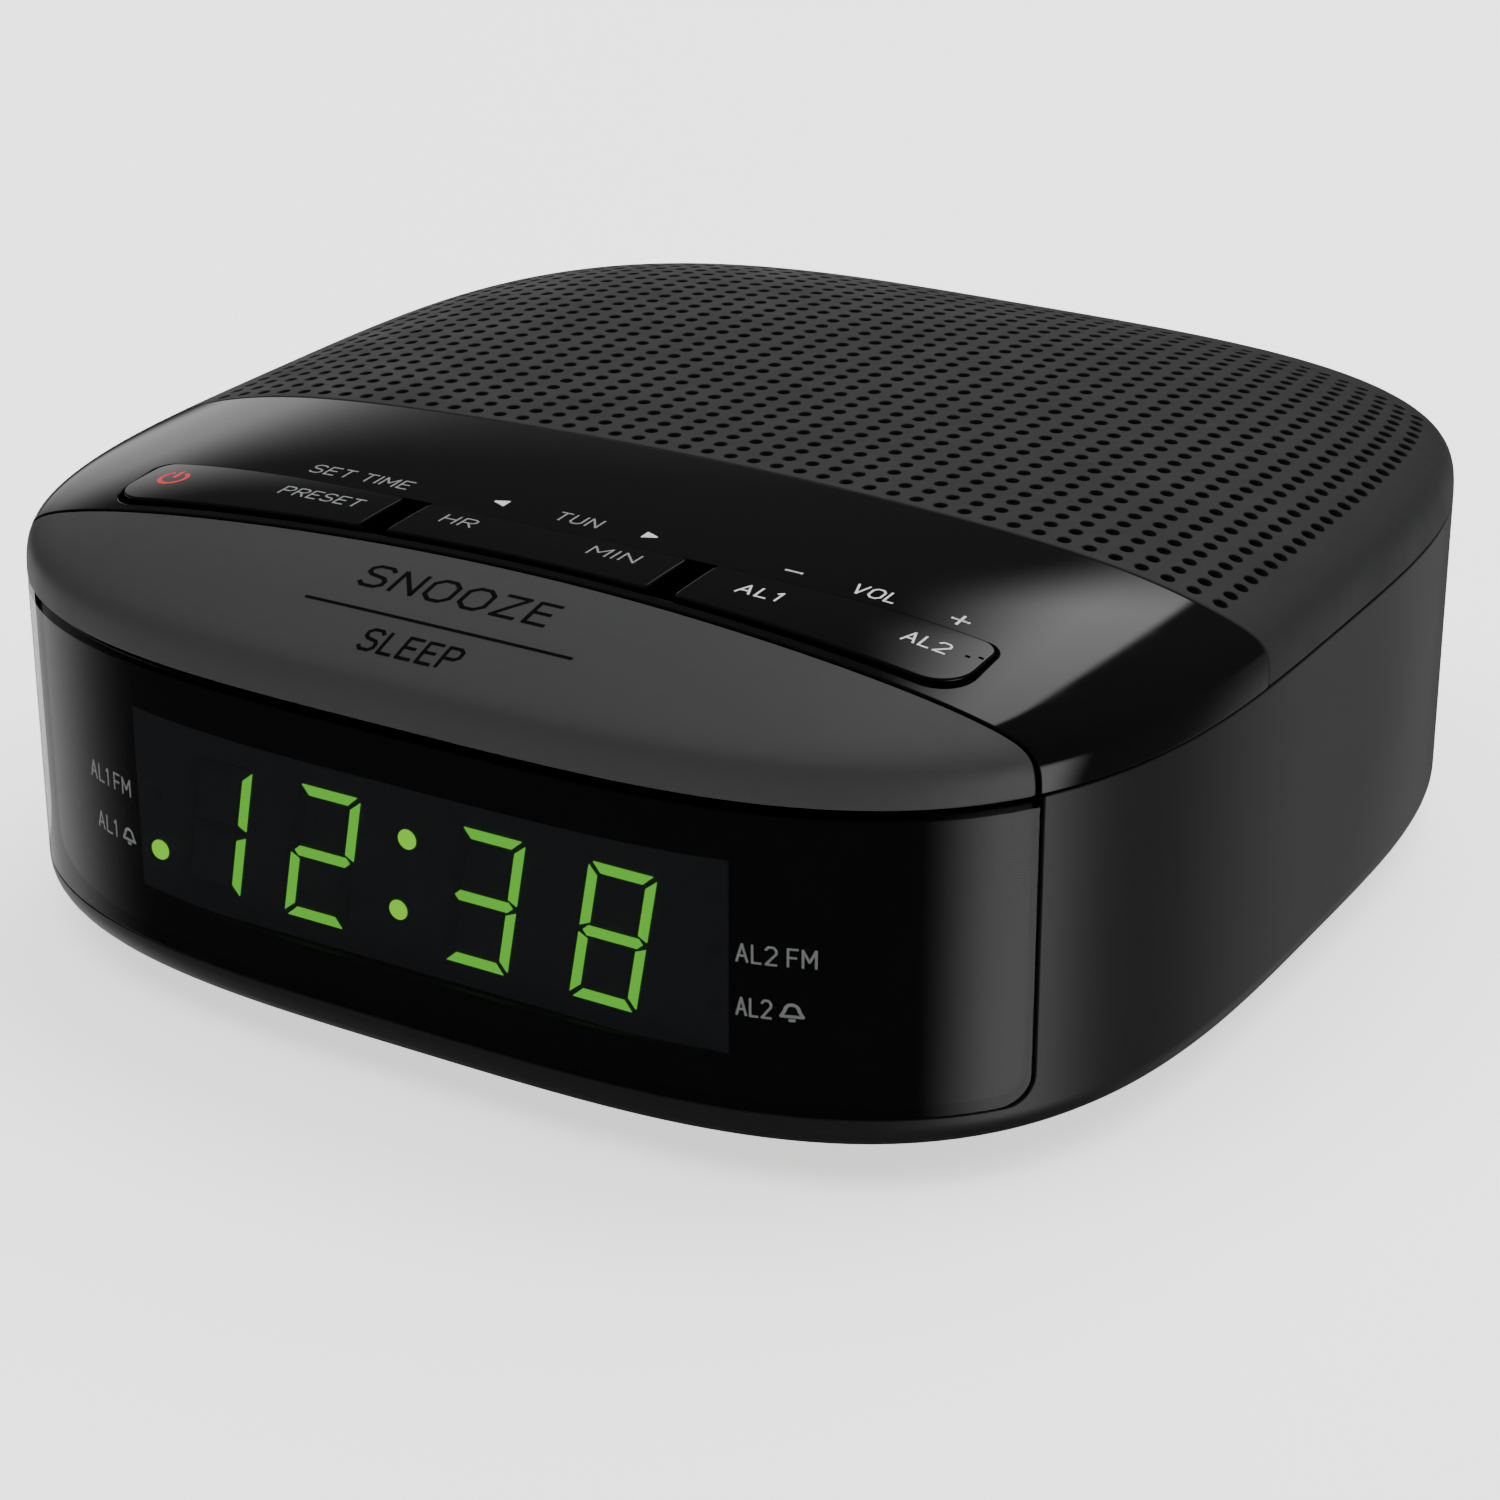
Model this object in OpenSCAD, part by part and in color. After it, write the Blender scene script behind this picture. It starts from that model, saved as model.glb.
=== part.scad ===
// Bedside clock radio: a rounded-square case on four feet, a green digit display behind a
// smoked front lens, a full-width snooze bar, three film-hinged keys and a perforated grille.
// The front faces -Y, up is +Z, and the origin is on the resting plane under the case centre.

/* [Case] */
// Width of the case, left to right
case_w = 136; // [130:1:144]
// Depth of the case, front to back
case_d = 137.6; // [132:0.2:144]
// Squareness of the outline, where 2 is an ellipse and a larger value has tighter corners
squareness = 3.45; // [3.2:0.05:3.9]
// Height of the part line between the case wall and the top covers
part_z = 39.3; // [39:0.1:40]
// Wall thickness of the case
wall = 2.5; // [2.2:0.1:2.8]
// Height of the case underside above the resting plane
floor_z = 2.4; // [2:0.1:3]

/* [Top covers] */
// Height of the rolled edge above the part line
roll_h = 5.9; // [5.5:0.1:6.5]
// Distance that the rolled edge steps in
roll_in = 5.1; // [4.5:0.1:6]
// Rise of the crowned top from the rolled edge to its middle
crown_h = 5.4; // [5:0.1:6]
// Sharpness of the crown, where a larger value keeps the middle flatter
crown_power = 4.7; // [4:0.1:5.5]
// Thickness of the top covers
cover_t = 2; // [1.8:0.1:2.2]
// Position of the seam between the grille and the control panel, at the middle
grille_seam_y = -15.2; // [-17:0.1:-13]
// Position of the seam between the control panel and the snooze bar, at the middle
snooze_seam_y = -49; // [-49.5:0.1:-48.5]
// Distance that both seams curve forward towards the sides
seam_bow = 2.2; // [0:0.1:3]
// Running gap round the snooze bar
snooze_gap = 0.3; // [0.2:0.05:0.4]
// Downward travel of the snooze bar
snooze_travel = 0.8; // [0.5:0.1:0.8]

/* [Keys] */
// Position of the film hinge behind the keys
hinge_y = -39.8; // [-40.2:0.1:-39.4]
// Distance from the snooze seam back to the front edges of the keys
key_front = 1.8; // [1.6:0.1:2]
// Clearance round each key
key_gap = 0.4; // [0.3:0.05:0.5]
// Half-width of the middle key
key_mid = 15.4; // [15:0.1:15.8]
// Inner and outer ends of each side key, measured from the middle
key_side = [18.6, 50]; // [15:0.1:52]
// Rise of the keys' front edges above the panel
key_rise = 0.5; // [0.3:0.1:0.6]

/* [Display] */
// Half-width of the front lens
lens_half = 60; // [58:0.5:61]
// Thickness of the front lens
lens_t = 1.4; // [1.2:0.1:1.5]
// Bottom edge of the front lens
lens_z = 7.5; // [7:0.1:9]
// Width, depth and height of the display module
module_size = [74, 8, 23.4]; // [6:0.1:75]
// Front face of the display module
module_y = -64.2; // [-64.3:0.1:-64]
// Underside of the display module
module_z = 10.2; // [10:0.1:10.4]
// Height and width of a digit
digit_size = [14.6, 7.4]; // [6:0.1:15]
// Centres of the four digits
digit_x = [-26.2, -12.2, 7.2, 21.8]; // [-30:0.1:30]
// Lean of the digits, in degrees
digit_lean = 9; // [0:1:12]

/* [Inside] */
// Centre of the loudspeaker
speaker_y = 20; // [18:1:22]
// Diameter of the loudspeaker flange
speaker_d = 59; // [58:1:60]
// Radius of the drilled field over the loudspeaker
field_r = 21; // [12:1:23]
// Diameter of a grille hole
hole_d = 1.45; // [1:0.05:1.6]
// Spacing of the grille holes, across and back
hole_pitch = [2.86, 2.6]; // [2.4:0.02:3.2]
// Screw post positions, as distances from the middle
post = [46, 38]; // [36:1:47]
// Foot positions, as distances from the middle
foot = [38, 46]; // [36:1:47]
// Diameter of a foot
foot_d = 11; // [9:0.5:12]
// Width, depth and height of the battery bay for two AAA cells
bay = [52, 24, 11.6]; // [10:0.1:53]
// Centre of the battery bay, behind the middle
bay_y = 20; // [19:1:21]

/* [Hidden] */
steps = 60;                       // corners in each outline
half_w = case_w / 2;
half_d = case_d / 2;
bow_run = 48;                     // half-width over which the seams curve
fit_gap = 0.15;                   // seam between covers that don't move
rim_z = part_z - snooze_travel - 0.2;  // top of the case wall under the snooze bar
k_in = 1 - wall / half_w;         // inner face of the wall, as a scale of the outline
k_lens = 1 - lens_t / half_w;     // pocket for the lens
k_edge = 1 - roll_in / half_w;    // inner edge of the roll
k_floor = 0.84;                   // edge of the bottom cover
frame_z = [34, 36];               // underside and top of the inner frame
board_t = 1.6;
keyboard_z = 38.4;                // underside of the key board
switch_h = 3.5;                   // height of a key switch body
plunger_h = 0.8;
mainboard_z = 9;
crease_z = 49.4;                  // height of the film hinge
key_tilt = atan(key_rise / (hinge_y - snooze_seam_y));
key_post_y = -44.2;               // line of the key switches
post_x = [26, 42];                // posts under a side key, from the middle
digit_z = 21;                     // mid-height of the digits
segment_t = 0.2;
cord_at = [-38, 12];              // outlet in the rear wall, across and up
key_screws = [34, -46, -36];      // key board screws: distance from the middle, and both lines
main_screws = [34, -44, -12];     // main board screws, in the same way
speaker_screw_r = speaker_d / 2 - 1.6;
core_x = [-52.8, -31.8];          // sides of the transformer core
flange_z = 41;                    // underside of the loudspeaker flange
cone_top = 41.2;
cone_base = 31.5;
spring_x = 30;
leg_x = 44;                       // legs that hold the snooze bar in its slots
snooze_y = -57;                   // line of the snooze switch and springs
boss_z = 44.5;                    // underside of the snooze bar's bosses
door_axis = [bay_y + bay[1] / 2 + 1.3, floor_z + 0.9];

// ---------- outline and lofted skins ----------

// Distance from the centre to the case outline in direction t
function reach(t) =
    pow(pow(abs(cos(t)) / half_w, squareness) + pow(abs(sin(t)) / half_d, squareness),
        -1 / squareness);

function outline(k) =
    [for (i = [0 : steps - 1]) let (t = 360 * i / steps) k * reach(t) * [cos(t), sin(t)]];

// How far forward both seams have curved at distance x from the middle
function bow(x) = seam_bow * (1 - cos(180 * min(abs(x), bow_run) / bow_run)) / 2;

// A closed skin through outlines stacked as [scale, height] pairs, lowest first
module loft(levels) {
    rows = len(levels);
    points = [for (l = levels) for (p = outline(l[0])) [p[0], p[1], l[1]]];
    sides = [for (j = [0 : rows - 2], i = [0 : steps - 1])
        let (a = j * steps + i, b = j * steps + (i + 1) % steps)
        [a, a + steps, b + steps, b]];
    bottom = [[for (i = [0 : steps - 1]) i]];
    top = [[for (i = [steps - 1 : -1 : 0]) (rows - 1) * steps + i]];
    polyhedron(points, concat(bottom, sides, top));
}

// Scale of the outline that passes through a point, and the height of the top above it
function scale_at(x, y) =
    pow(pow(abs(x) / half_w, squareness) + pow(abs(y) / half_d, squareness), 1 / squareness);
function skin_z(x, y) =
    part_z + roll_h + crown_h * (1 - pow(min(1, scale_at(x, y) / k_edge), crown_power));

// An upright plate with the outline's shape, its corners on whole micrometres
module plate(k, z0, z1) {
    edge = [for (p = outline(k)) [round(p[0] * 1000), round(p[1] * 1000)] / 1000];
    translate([0, 0, z0]) linear_extrude(z1 - z0) polygon(edge);
}

roll_levels = [for (a = [0, 25, 45, 65, 90])
    [1 - (1 - k_edge) * (1 - cos(a)), part_z + roll_h * sin(a)]];
crown_levels = [for (s = [0.94, 0.87, 0.79, 0.68, 0.5])
    [k_edge * s, part_z + roll_h + crown_h * (1 - pow(s, crown_power))]];
top_levels = concat(roll_levels, crown_levels);
top_z = top_levels[len(top_levels) - 1][1];
inner_squash = 1 - cover_t / (top_z - part_z);
inner_levels = [for (l = top_levels)
    [l[0] * (1 - cover_t / half_w), part_z + (l[1] - part_z) * inner_squash]];

module top_skin() {
    difference() {
        loft(top_levels);
        loft(concat([[inner_levels[0][0], part_z - 1]], inner_levels));
    }
}

// Plan area between two seam positions; the seams bow forward together
module seam_band(y_front, y_rear) {
    xs = [-90, for (x = [-bow_run : 6 : bow_run]) x, 90];
    front = [for (x = xs) [x, y_front - bow(x)]];
    rear = [for (i = [len(xs) - 1 : -1 : 0]) [xs[i], y_rear - bow(xs[i])]];
    polygon(concat(front, rear));
}

// Plan area of a key from x0 to x1; round_end is -1, 0 or 1 for the rounded side
module key_plan(x0, x1, round_end, grow = 0) {
    r = 4.2 + grow;
    y0 = snooze_seam_y + key_front;
    xs = [for (i = [0 : 8]) x0 - grow + (x1 - x0 + 2 * grow) * i / 8];
    corner_x = round_end > 0 ? x1 + grow - r : x0 - grow + r;
    corner_y = y0 - grow - bow(corner_x) + r;
    intersection() {
        polygon(concat([for (x = xs) [x, y0 - grow - bow(x)]],
                       [[x1 + grow, hinge_y + grow / 2], [x0 - grow, hinge_y + grow / 2]]));
        if (round_end != 0) {
            union() {
                translate([corner_x, corner_y]) circle(r, $fn = 48);
                translate([corner_x - (round_end > 0 ? 60 : 0), corner_y - r - 6])
                    square([60, 40]);
                translate([corner_x - r - 1, corner_y]) square([2 * r + 2, 20]);
            }
        }
    }
}

module mirror_x() {
    children();
    mirror([1, 0, 0]) children();
}

module four(at) {
    for (sx = [-1, 1], sy = [-1, 1]) translate([sx * at[0], sy * at[1], 0]) children();
}

module key_screw_places() {
    for (sx = [-1, 1], y = [key_screws[1], key_screws[2]])
        translate([sx * key_screws[0], y, 0]) children();
}

module main_screw_places() {
    for (sx = [-1, 1], y = [main_screws[1], main_screws[2]])
        translate([sx * main_screws[0], y, 0]) children();
}

module speaker_screw_places() {
    translate([0, speaker_y, 0]) for (a = [45 : 90 : 315])
        rotate([0, 0, a]) translate([speaker_screw_r, 0, 0]) children();
}

module rod(d, z0, z1) {
    translate([0, 0, z0]) cylinder(d = d, h = z1 - z0, $fn = 48);
}

// A box between two corners
module block(from, to) {
    translate(from) cube(to - from);
}

// ---------- case ----------

wall_levels = concat(
    [for (a = [0, 30, 55, 78])
        [1 - 6.2 / half_w * (1 - sin(a)), floor_z + 4.6 * (1 - cos(a))]],
    [[1, floor_z + 4.7], [1, part_z]]);

module lens_plan(inset = 0) {
    r = 3;
    x = lens_half - inset;
    z0 = lens_z + inset;
    z1 = rim_z + 3;
    polygon(concat([[-x, z1]],
                   [for (a = [180 : 15 : 270]) [-x + r + r * cos(a), z0 + r + r * sin(a)]],
                   [for (a = [270 : 15 : 360]) [x - r + r * cos(a), z0 + r + r * sin(a)]],
                   [[x, z1]]));
}

// The lens outline pushed back from the front as far as its ends
module lens_prism(inset = 0) {
    translate([0, -45, 0]) rotate([90, 0, 0]) linear_extrude(40) lens_plan(inset);
}

module case_body() {
    color("#1c1c1d") {
        difference() {
            loft(wall_levels);
            plate(k_in, floor_z + 4.2, part_z + 1);
            plate(k_floor, floor_z - 1, floor_z + 2);
            plate(k_floor - 0.05, floor_z, floor_z + 5);
            // pocket for the lens, leaving a thin wall behind it
            difference() {
                lens_prism();
                plate(k_lens, 0, 60);
            }
            // window for the display module
            block([-module_size[0] / 2 - 0.5, -75, module_z - 0.4],
                  [module_size[0] / 2 + 0.5, -50, module_z + module_size[2] + 0.4]);
            // lowered rim under the snooze bar
            translate([0, 0, rim_z]) linear_extrude(5) seam_band(-90, snooze_seam_y);
            cord_hole();
        }
        // screw posts, each tied to the wall by a web
        for (sx = [-1, 1], sy = [-1, 1]) translate([sx * post[0], sy * post[1], 0]) difference() {
            union() {
                rod(8, floor_z + 3, frame_z[0]);
                rotate([0, 0, atan2(sy * post[1], sx * post[0])])
                    translate([3, -0.8, floor_z + 3]) cube([13.6, 1.6, 22]);
            }
            rod(2.5, floor_z, frame_z[0] + 1);
        }
    }
}

module cord_hole() {
    translate([cord_at[0], 80, cord_at[1]]) rotate([90, 0, 0])
        cylinder(d = 8.2, h = 30, $fn = 48);
}

module cord_bush() {
    color("#151515")
    translate([cord_at[0], 0, cord_at[1]]) rotate([-90, 0, 0]) difference() {
        union() {
            translate([0, 0, 58]) cylinder(d = 8.2, h = 9.4, $fn = 48);
            translate([0, 0, 58]) cylinder(d = 10.6, h = 2, $fn = 48);
        }
        translate([0, 0, 50]) cylinder(d = 4.2, h = 20, $fn = 48);
    }
}

module bottom_cover() {
    z0 = floor_z;
    z1 = floor_z + 2;
    color("#1a1a1b")
    difference() {
        union() {
            plate(k_floor - 0.003, z0, z1);
            block([-bay[0] / 2 - 2.5, bay_y - bay[1] / 2 - 2.5, z0],
                  [bay[0] / 2 + 2.5, bay_y + bay[1] / 2 + 3.4, z0 + 2 + bay[2] + 1.5]);
            // stand-offs for the main board
            main_screw_places() rod(6, z0, mainboard_z);
        }
        // cavity and door recess
        block([-bay[0] / 2, bay_y - bay[1] / 2, z0 - 1],
              [bay[0] / 2, bay_y + bay[1] / 2, z0 + 2 + bay[2]]);
        block([-bay[0] / 2 - 1.5, bay_y - bay[1] / 2 - 1.5, z0 - 1],
              [bay[0] / 2 + 1.5, bay_y + bay[1] / 2 + 2.4, z0 + 1.9]);
        // hinge pin sockets
        translate([-bay[0] / 2 - 2.2, door_axis[0], door_axis[1]]) rotate([0, 90, 0])
            cylinder(d = 1.3, h = bay[0] + 4.4, $fn = 32);
        four(foot) rod(foot_d + 0.2, z0 - 1, z0 + 0.8);
        four(post) {
            rod(3.2, z0 - 1, z1 + 1);
            rod(6, z0 - 1, z0 + 1);
        }
        main_screw_places() rod(1.8, z0 + 1, mainboard_z + 1);
        // cooling slots
        for (i = [-4 : 4]) block([i * 4 - 0.8, -36, z0 - 1], [i * 4 + 0.8, -20, z1 + 1]);
    }
}

module battery_door() {
    z0 = floor_z;
    x = bay[0] / 2 + 1.2;
    front = bay_y - bay[1] / 2 - 1.2;
    color("#1a1a1b")
    difference() {
        union() {
            block([-x, front, z0], [x, door_axis[0], z0 + 1.6]);
            translate([-x, door_axis[0], door_axis[1]]) rotate([0, 90, 0])
                cylinder(r = 0.9, h = 2 * x, $fn = 32);
            // hinge pins
            translate([-x - 0.8, door_axis[0], door_axis[1]]) rotate([0, 90, 0])
                cylinder(d = 1.2, h = 2 * x + 1.6, $fn = 32);
        }
        // thumb grip
        for (i = [0 : 3]) block([-8, front + 2 + i * 2, z0 - 1], [8, front + 3 + i * 2, z0 + 0.4]);
    }
}

module front_lens() {
    color("#0d0e0f")
    difference() {
        intersection() {
            plate(1, lens_z - 1, rim_z);
            lens_prism(0.1);
        }
        plate(k_lens + 0.0005, 0, 60);
    }
}

// ---------- top covers ----------

module control_panel() {
    color("#08080a")
    difference() {
        intersection() {
            top_skin();
            linear_extrude(80)
                seam_band(snooze_seam_y + snooze_gap, grille_seam_y - fit_gap);
        }
        translate([0, 0, 42]) linear_extrude(20) {
            key_plan(-key_side[1], -key_side[0], -1, key_gap);
            key_plan(-key_mid, key_mid, 0, key_gap);
            key_plan(key_side[0], key_side[1], 1, key_gap);
            // open slots between the keys
            mirror_x() key_plan(key_mid, key_side[0], 0, key_gap);
        }
    }
}

// A key is cut from the cover skin, then tipped up about its film hinge
module key(x0, x1, round_end, posts) {
    color("#08080a")
    translate([0, hinge_y, crease_z]) rotate([-key_tilt, 0, 0])
    translate([0, -hinge_y, -crease_z]) {
        intersection() {
            top_skin();
            translate([0, 0, 40]) linear_extrude(20) key_plan(x0, x1, round_end);
        }
        for (x = posts) translate([x, key_post_y, 0])
            rod(3, keyboard_z + board_t + switch_h + plunger_h + 0.3, skin_z(x, key_post_y) - 1);
    }
}

module key_power() {
    key(-key_side[1], -key_side[0], -1, [-post_x[1], -post_x[0]]);
}

module key_tuning() {
    key(-key_mid, key_mid, 0, [-9, 9]);
}

module key_alarm() {
    key(key_side[0], key_side[1], 1, post_x);
}

module snooze_bar() {
    color("#3d3d3e") {
        intersection() {
            top_skin();
            linear_extrude(80) seam_band(-90, snooze_seam_y);
        }
        for (x = [-spring_x, 0, spring_x]) translate([x, snooze_y, 0])
            rod(6, boss_z, skin_z(x, snooze_y) - 1);
        // guide legs with hooks under the frame
        for (x = [-leg_x, leg_x]) {
            block([x - 3, -54.6, frame_z[0] - 1.6], [x + 3, -53, 44.8]);
            block([x - 3, -53.2, frame_z[0] - 1.6], [x + 3, -51.8, frame_z[0] - 0.2]);
        }
    }
}

// Hole centres: straight rows across, each bowed forward like the seams
module grille_holes(z0, z1) {
    for (i = [-8 : 7], j = [-8 : 8]) {
        x = (i + 0.5) * hole_pitch[0];
        y = speaker_y + j * hole_pitch[1] - bow(x);
        if (norm([x, y - speaker_y]) < field_r) translate([x, y, 0])
            translate([0, 0, z0]) cylinder(d = hole_d, h = z1 - z0, $fn = 16);
    }
}

module grille_cover() {
    color("#363637") {
        difference() {
            intersection() {
                top_skin();
                linear_extrude(80) seam_band(grille_seam_y, 100);
            }
            grille_holes(top_z - 4, top_z + 1);
        }
        // ring that clamps the loudspeaker
        difference() {
            translate([0, speaker_y, 0]) difference() {
                rod(speaker_d + 4, flange_z + 1.8, top_z - cover_t + 0.1);
                rod(speaker_d - 6.6, flange_z, top_z);
            }
            speaker_screw_places() rod(1.8, flange_z, flange_z + 3.4);
        }
        // feet of the cover on the frame
        for (x = [-54, 54], y = [-4, 38]) translate([x, y, 0])
            rod(5, frame_z[1], skin_z(x, y) - 1);
    }
}

// ---------- inside ----------

module inner_frame() {
    color("#2b2b2d")
    difference() {
        union() {
            plate(k_in - 0.006, frame_z[0], frame_z[1]);
            key_screw_places()
                rod(5, frame_z[0], keyboard_z);
            for (x = [-20, 20]) translate([x, snooze_y, 0]) rod(5, frame_z[0], keyboard_z);
        }
        translate([0, speaker_y, 0]) rod(50, frame_z[0] - 1, frame_z[1] + 1);
        block([-24, -30, frame_z[0] - 1], [24, -14, frame_z[1] + 1]);
        for (x = [-leg_x, leg_x])
            block([x - 3.6, -55.2, frame_z[0] - 1], [x + 3.6, -51.2, frame_z[1] + 1]);
        four(post) rod(3.2, frame_z[0] - 1, frame_z[1] + 1);
        key_screw_places()
            rod(1.6, frame_z[0] + 0.6, keyboard_z + 1);
    }
}

module display_module() {
    color("#141516")
    block([-module_size[0] / 2, module_y, module_z],
          [module_size[0] / 2, module_y + module_size[1], module_z + module_size[2]]);
}

// One bar of a digit: a flat hexagon seen from the front, from a to b
module bar(a, b) {
    w = 0.65;
    along = (b - a) / norm(b - a);
    side = [-along[1], along[0]];
    polygon([a, a + w * (along + side), b + w * (side - along), b,
             b - w * (along + side), a + w * (along - side)]);
}

module digit() {
    h = digit_size[0] / 2;
    w = digit_size[1] / 2;
    g = 0.18;
    for (z = [-h, 0, h]) bar([-w + g, z], [w - g, z]);
    for (x = [-w, w], z = [-h, 0]) bar([x, z + g], [x, z + h - g]);
}

module display_segments() {
    shear = tan(digit_lean);
    color("#5cc832")
    translate([0, module_y, digit_z]) rotate([90, 0, 0]) linear_extrude(segment_t) {
        for (x = digit_x) translate([x, 0]) leaning(shear) digit();
        for (z = [-4, 4]) translate([-2.5 + z * shear, z]) circle(0.75, $fn = 24);
        for (x = [-34.2, 34.6], z = [-3.6, 2.2]) translate([x, z]) circle(0.6, $fn = 24);
    }
}

// Leans a flat shape to the right by shear for each unit of height
module leaning(shear) {
    multmatrix([[1, shear, 0, 0], [0, 1, 0, 0], [0, 0, 1, 0], [0, 0, 0, 1]]) children();
}

module display_board() {
    y = module_y + module_size[1];
    color("#1f5a34")
    block([-40, y, module_z - 0.2], [40, y + board_t, frame_z[0] - 0.4]);
}

module ribbon_cable() {
    y = module_y + module_size[1] + board_t;
    color("#c9c9c4") {
        block([-12, y, 13], [12, y + 0.5, 26]);
        block([-12, y, 13], [12, y + 4.1, 13.5]);
        block([-12, y + 3.6, mainboard_z + board_t], [12, y + 4.1, 13.5]);
    }
}

module key_board() {
    z = keyboard_z;
    color("#1f5a34")
    difference() {
        union() {
            block([-50, -49, z], [50, -33, z + board_t]);
            block([-34, -61, z], [34, -48, z + board_t]);
        }
        key_screw_places() rod(1.8, z - 1, z + 3);
    }
}

module tact_switch() {
    z = keyboard_z + board_t;
    translate([-3, -3, z]) cube([6, 6, switch_h]);
    rod(3.4, z + switch_h, z + switch_h + plunger_h);
}

module key_switches() {
    color("#262628")
    for (x = [-post_x[1], -post_x[0], -9, 9, post_x[0], post_x[1]])
        translate([x, key_post_y, 0]) tact_switch();
}

module snooze_switch() {
    z = keyboard_z + board_t;
    color("#262628")
    translate([0, snooze_y, 0]) difference() {
        translate([-3, -3, z]) cube([6, 6, switch_h]);
        rod(3.6, z + 0.4, z + switch_h + 1);
    }
}

module snooze_plunger() {
    color("#8a1f1f") translate([0, snooze_y, 0]) rod(3.2, keyboard_z + board_t + 1.4, boss_z);
}

// A coil of round wire about Z
module coil(radius, wire, z0, z1, turns) {
    along = turns * 12;
    around = 6;
    points = [for (i = [0 : along], j = [0 : around - 1])
        let (t = 30 * i, a = 360 * j / around, r = radius + wire / 2 * cos(a))
        [r * cos(t), r * sin(t),
         z0 + wire / 2 + (z1 - z0 - wire) * i / along + wire / 2 * sin(a)]];
    sides = [for (i = [0 : along - 1], j = [0 : around - 1])
        let (a = i * around + j, b = i * around + (j + 1) % around)
        [a, b, b + around, a + around]];
    start = [[for (j = [around - 1 : -1 : 0]) j]];
    end = [[for (j = [0 : around - 1]) along * around + j]];
    polyhedron(points, concat(start, sides, end));
}

module snooze_springs() {
    color("#b9bcc0")
    for (x = [-spring_x, spring_x]) translate([x, snooze_y, 0])
        coil(2.1, 0.45, keyboard_z + board_t, boss_z, 4);
}

module main_board() {
    z = mainboard_z;
    color("#1f5a34")
    difference() {
        block([-50, -50, z], [50, -6, z + board_t]);
        four(post) rod(11.5, z - 1, z + 3);
        for (x = [-1, 1]) translate([x * 52, -52, 0]) rod(18, z - 1, z + 3);
        main_screw_places() rod(1.8, z - 1, z + 3);
    }
}

module capacitors() {
    z = mainboard_z + board_t;
    color("#1d2c54") {
        translate([-28, -26, 0]) rod(13, z, z + 20);
        translate([-14, -18, 0]) rod(10, z, z + 16);
        for (y = [-24, -16.5, -9.8]) translate([24, y, 0]) rod(6.3, z, z + 11);
    }
}

module radio_chips() {
    z = mainboard_z + board_t;
    color("#17171a") {
        block([-12, -42, z], [12, -33, z + 3.4]);
        block([-4, -28, z], [9, -20, z + 3.2]);
        block([38, -22, z], [45, -12, z + 3]);
    }
}

module tuning_coils() {
    z = mainboard_z + board_t;
    color("#b8b4a8")
    for (x = [16.2, 26.2], y = [-40, -32]) block([x - 3.5, y - 3.5, z], [x + 3.5, y + 3.5, z + 9]);
}

module heat_sink() {
    z = mainboard_z + board_t;
    color("#9fa3a6") {
        block([-46, -30, z], [-36, -28.4, z + 18]);
        for (i = [0 : 3]) block([-46 + i * 2.8, -28.5, z], [-44.6 + i * 2.8, -22, z + 18]);
    }
}

module speaker_basket() {
    color("#5a5d60")
    difference() {
        translate([0, speaker_y, 0]) rotate_extrude($fn = 64) polygon([
            [speaker_d / 2, flange_z], [speaker_d / 2, flange_z + 0.8],
            [25.2, flange_z + 0.8], [25.2, flange_z - 0.8], [22.2, 33], [19.2, 31.2], [9, 31.2],
            [9, 30], [20, 30], [23.2, 32.2], [26.2, flange_z - 1.2], [26.4, flange_z]]);
        // windows behind the cone
        translate([0, speaker_y, 0]) for (a = [0 : 90 : 270]) rotate([0, 0, a])
            translate([20, -7, 33.4]) cube([8, 14, 5]);
        speaker_screw_places() rod(1.8, flange_z - 1, flange_z + 2);
    }
}

module speaker_magnet() {
    color("#3a3a3c")
    translate([0, speaker_y, 0]) difference() {
        union() {
            rod(36, 21, 29);
            rod(26, 29, 30);
            rod(26, 20, 21);
        }
        rod(15.4, 26, 31);
    }
}

module speaker_cone() {
    color("#26241f")
    translate([0, speaker_y, 0]) rotate_extrude($fn = 64) polygon([
        [20.6, cone_top], [20.6, cone_top + 0.4], [19.8, cone_top + 0.4], [7.6, cone_base + 1],
        [4, cone_base + 2.4], [0, cone_base + 2.9], [0, cone_base + 2.5], [4, cone_base + 2],
        [6.6, cone_base], [6.6, 27.6], [7.1, 27.6], [7.1, cone_base + 0.1],
        [19.6, cone_top - 0.1]]);
}

module speaker_surround() {
    color("#101010")
    translate([0, speaker_y, 0]) rotate_extrude($fn = 64) difference() {
        union() {
            translate([22.8, cone_top]) circle(2, $fn = 32);
            translate([20.6, cone_top]) square([4.6, 0.4]);
        }
        translate([22.8, cone_top]) circle(1.6, $fn = 32);
        translate([20, cone_top - 3]) square([6, 3]);
    }
}

module speaker_gasket() {
    color("#1b1b1b")
    difference() {
        translate([0, speaker_y, 0]) difference() {
            rod(speaker_d, flange_z + 0.8, flange_z + 1.8);
            rod(speaker_d - 6.6, flange_z, flange_z + 2);
        }
        speaker_screw_places() rod(1.8, flange_z - 1, flange_z + 2);
    }
}

// Two leads from the terminal strip on the basket down to the main board
module speaker_wires() {
    z_board = mainboard_z + board_t;
    color("#a52a2a")
    for (x = [-1.4, 1.4]) translate([x, 0, 0]) {
        translate([0, -8, 0]) rod(1.1, z_board, 33);
        translate([0, -8, 33]) rotate([-90, 0, 0]) cylinder(d = 1.1, h = 4.4, $fn = 24);
        translate([0, -8, 33]) sphere(d = 1.1, $fn = 24);
    }
}

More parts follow.
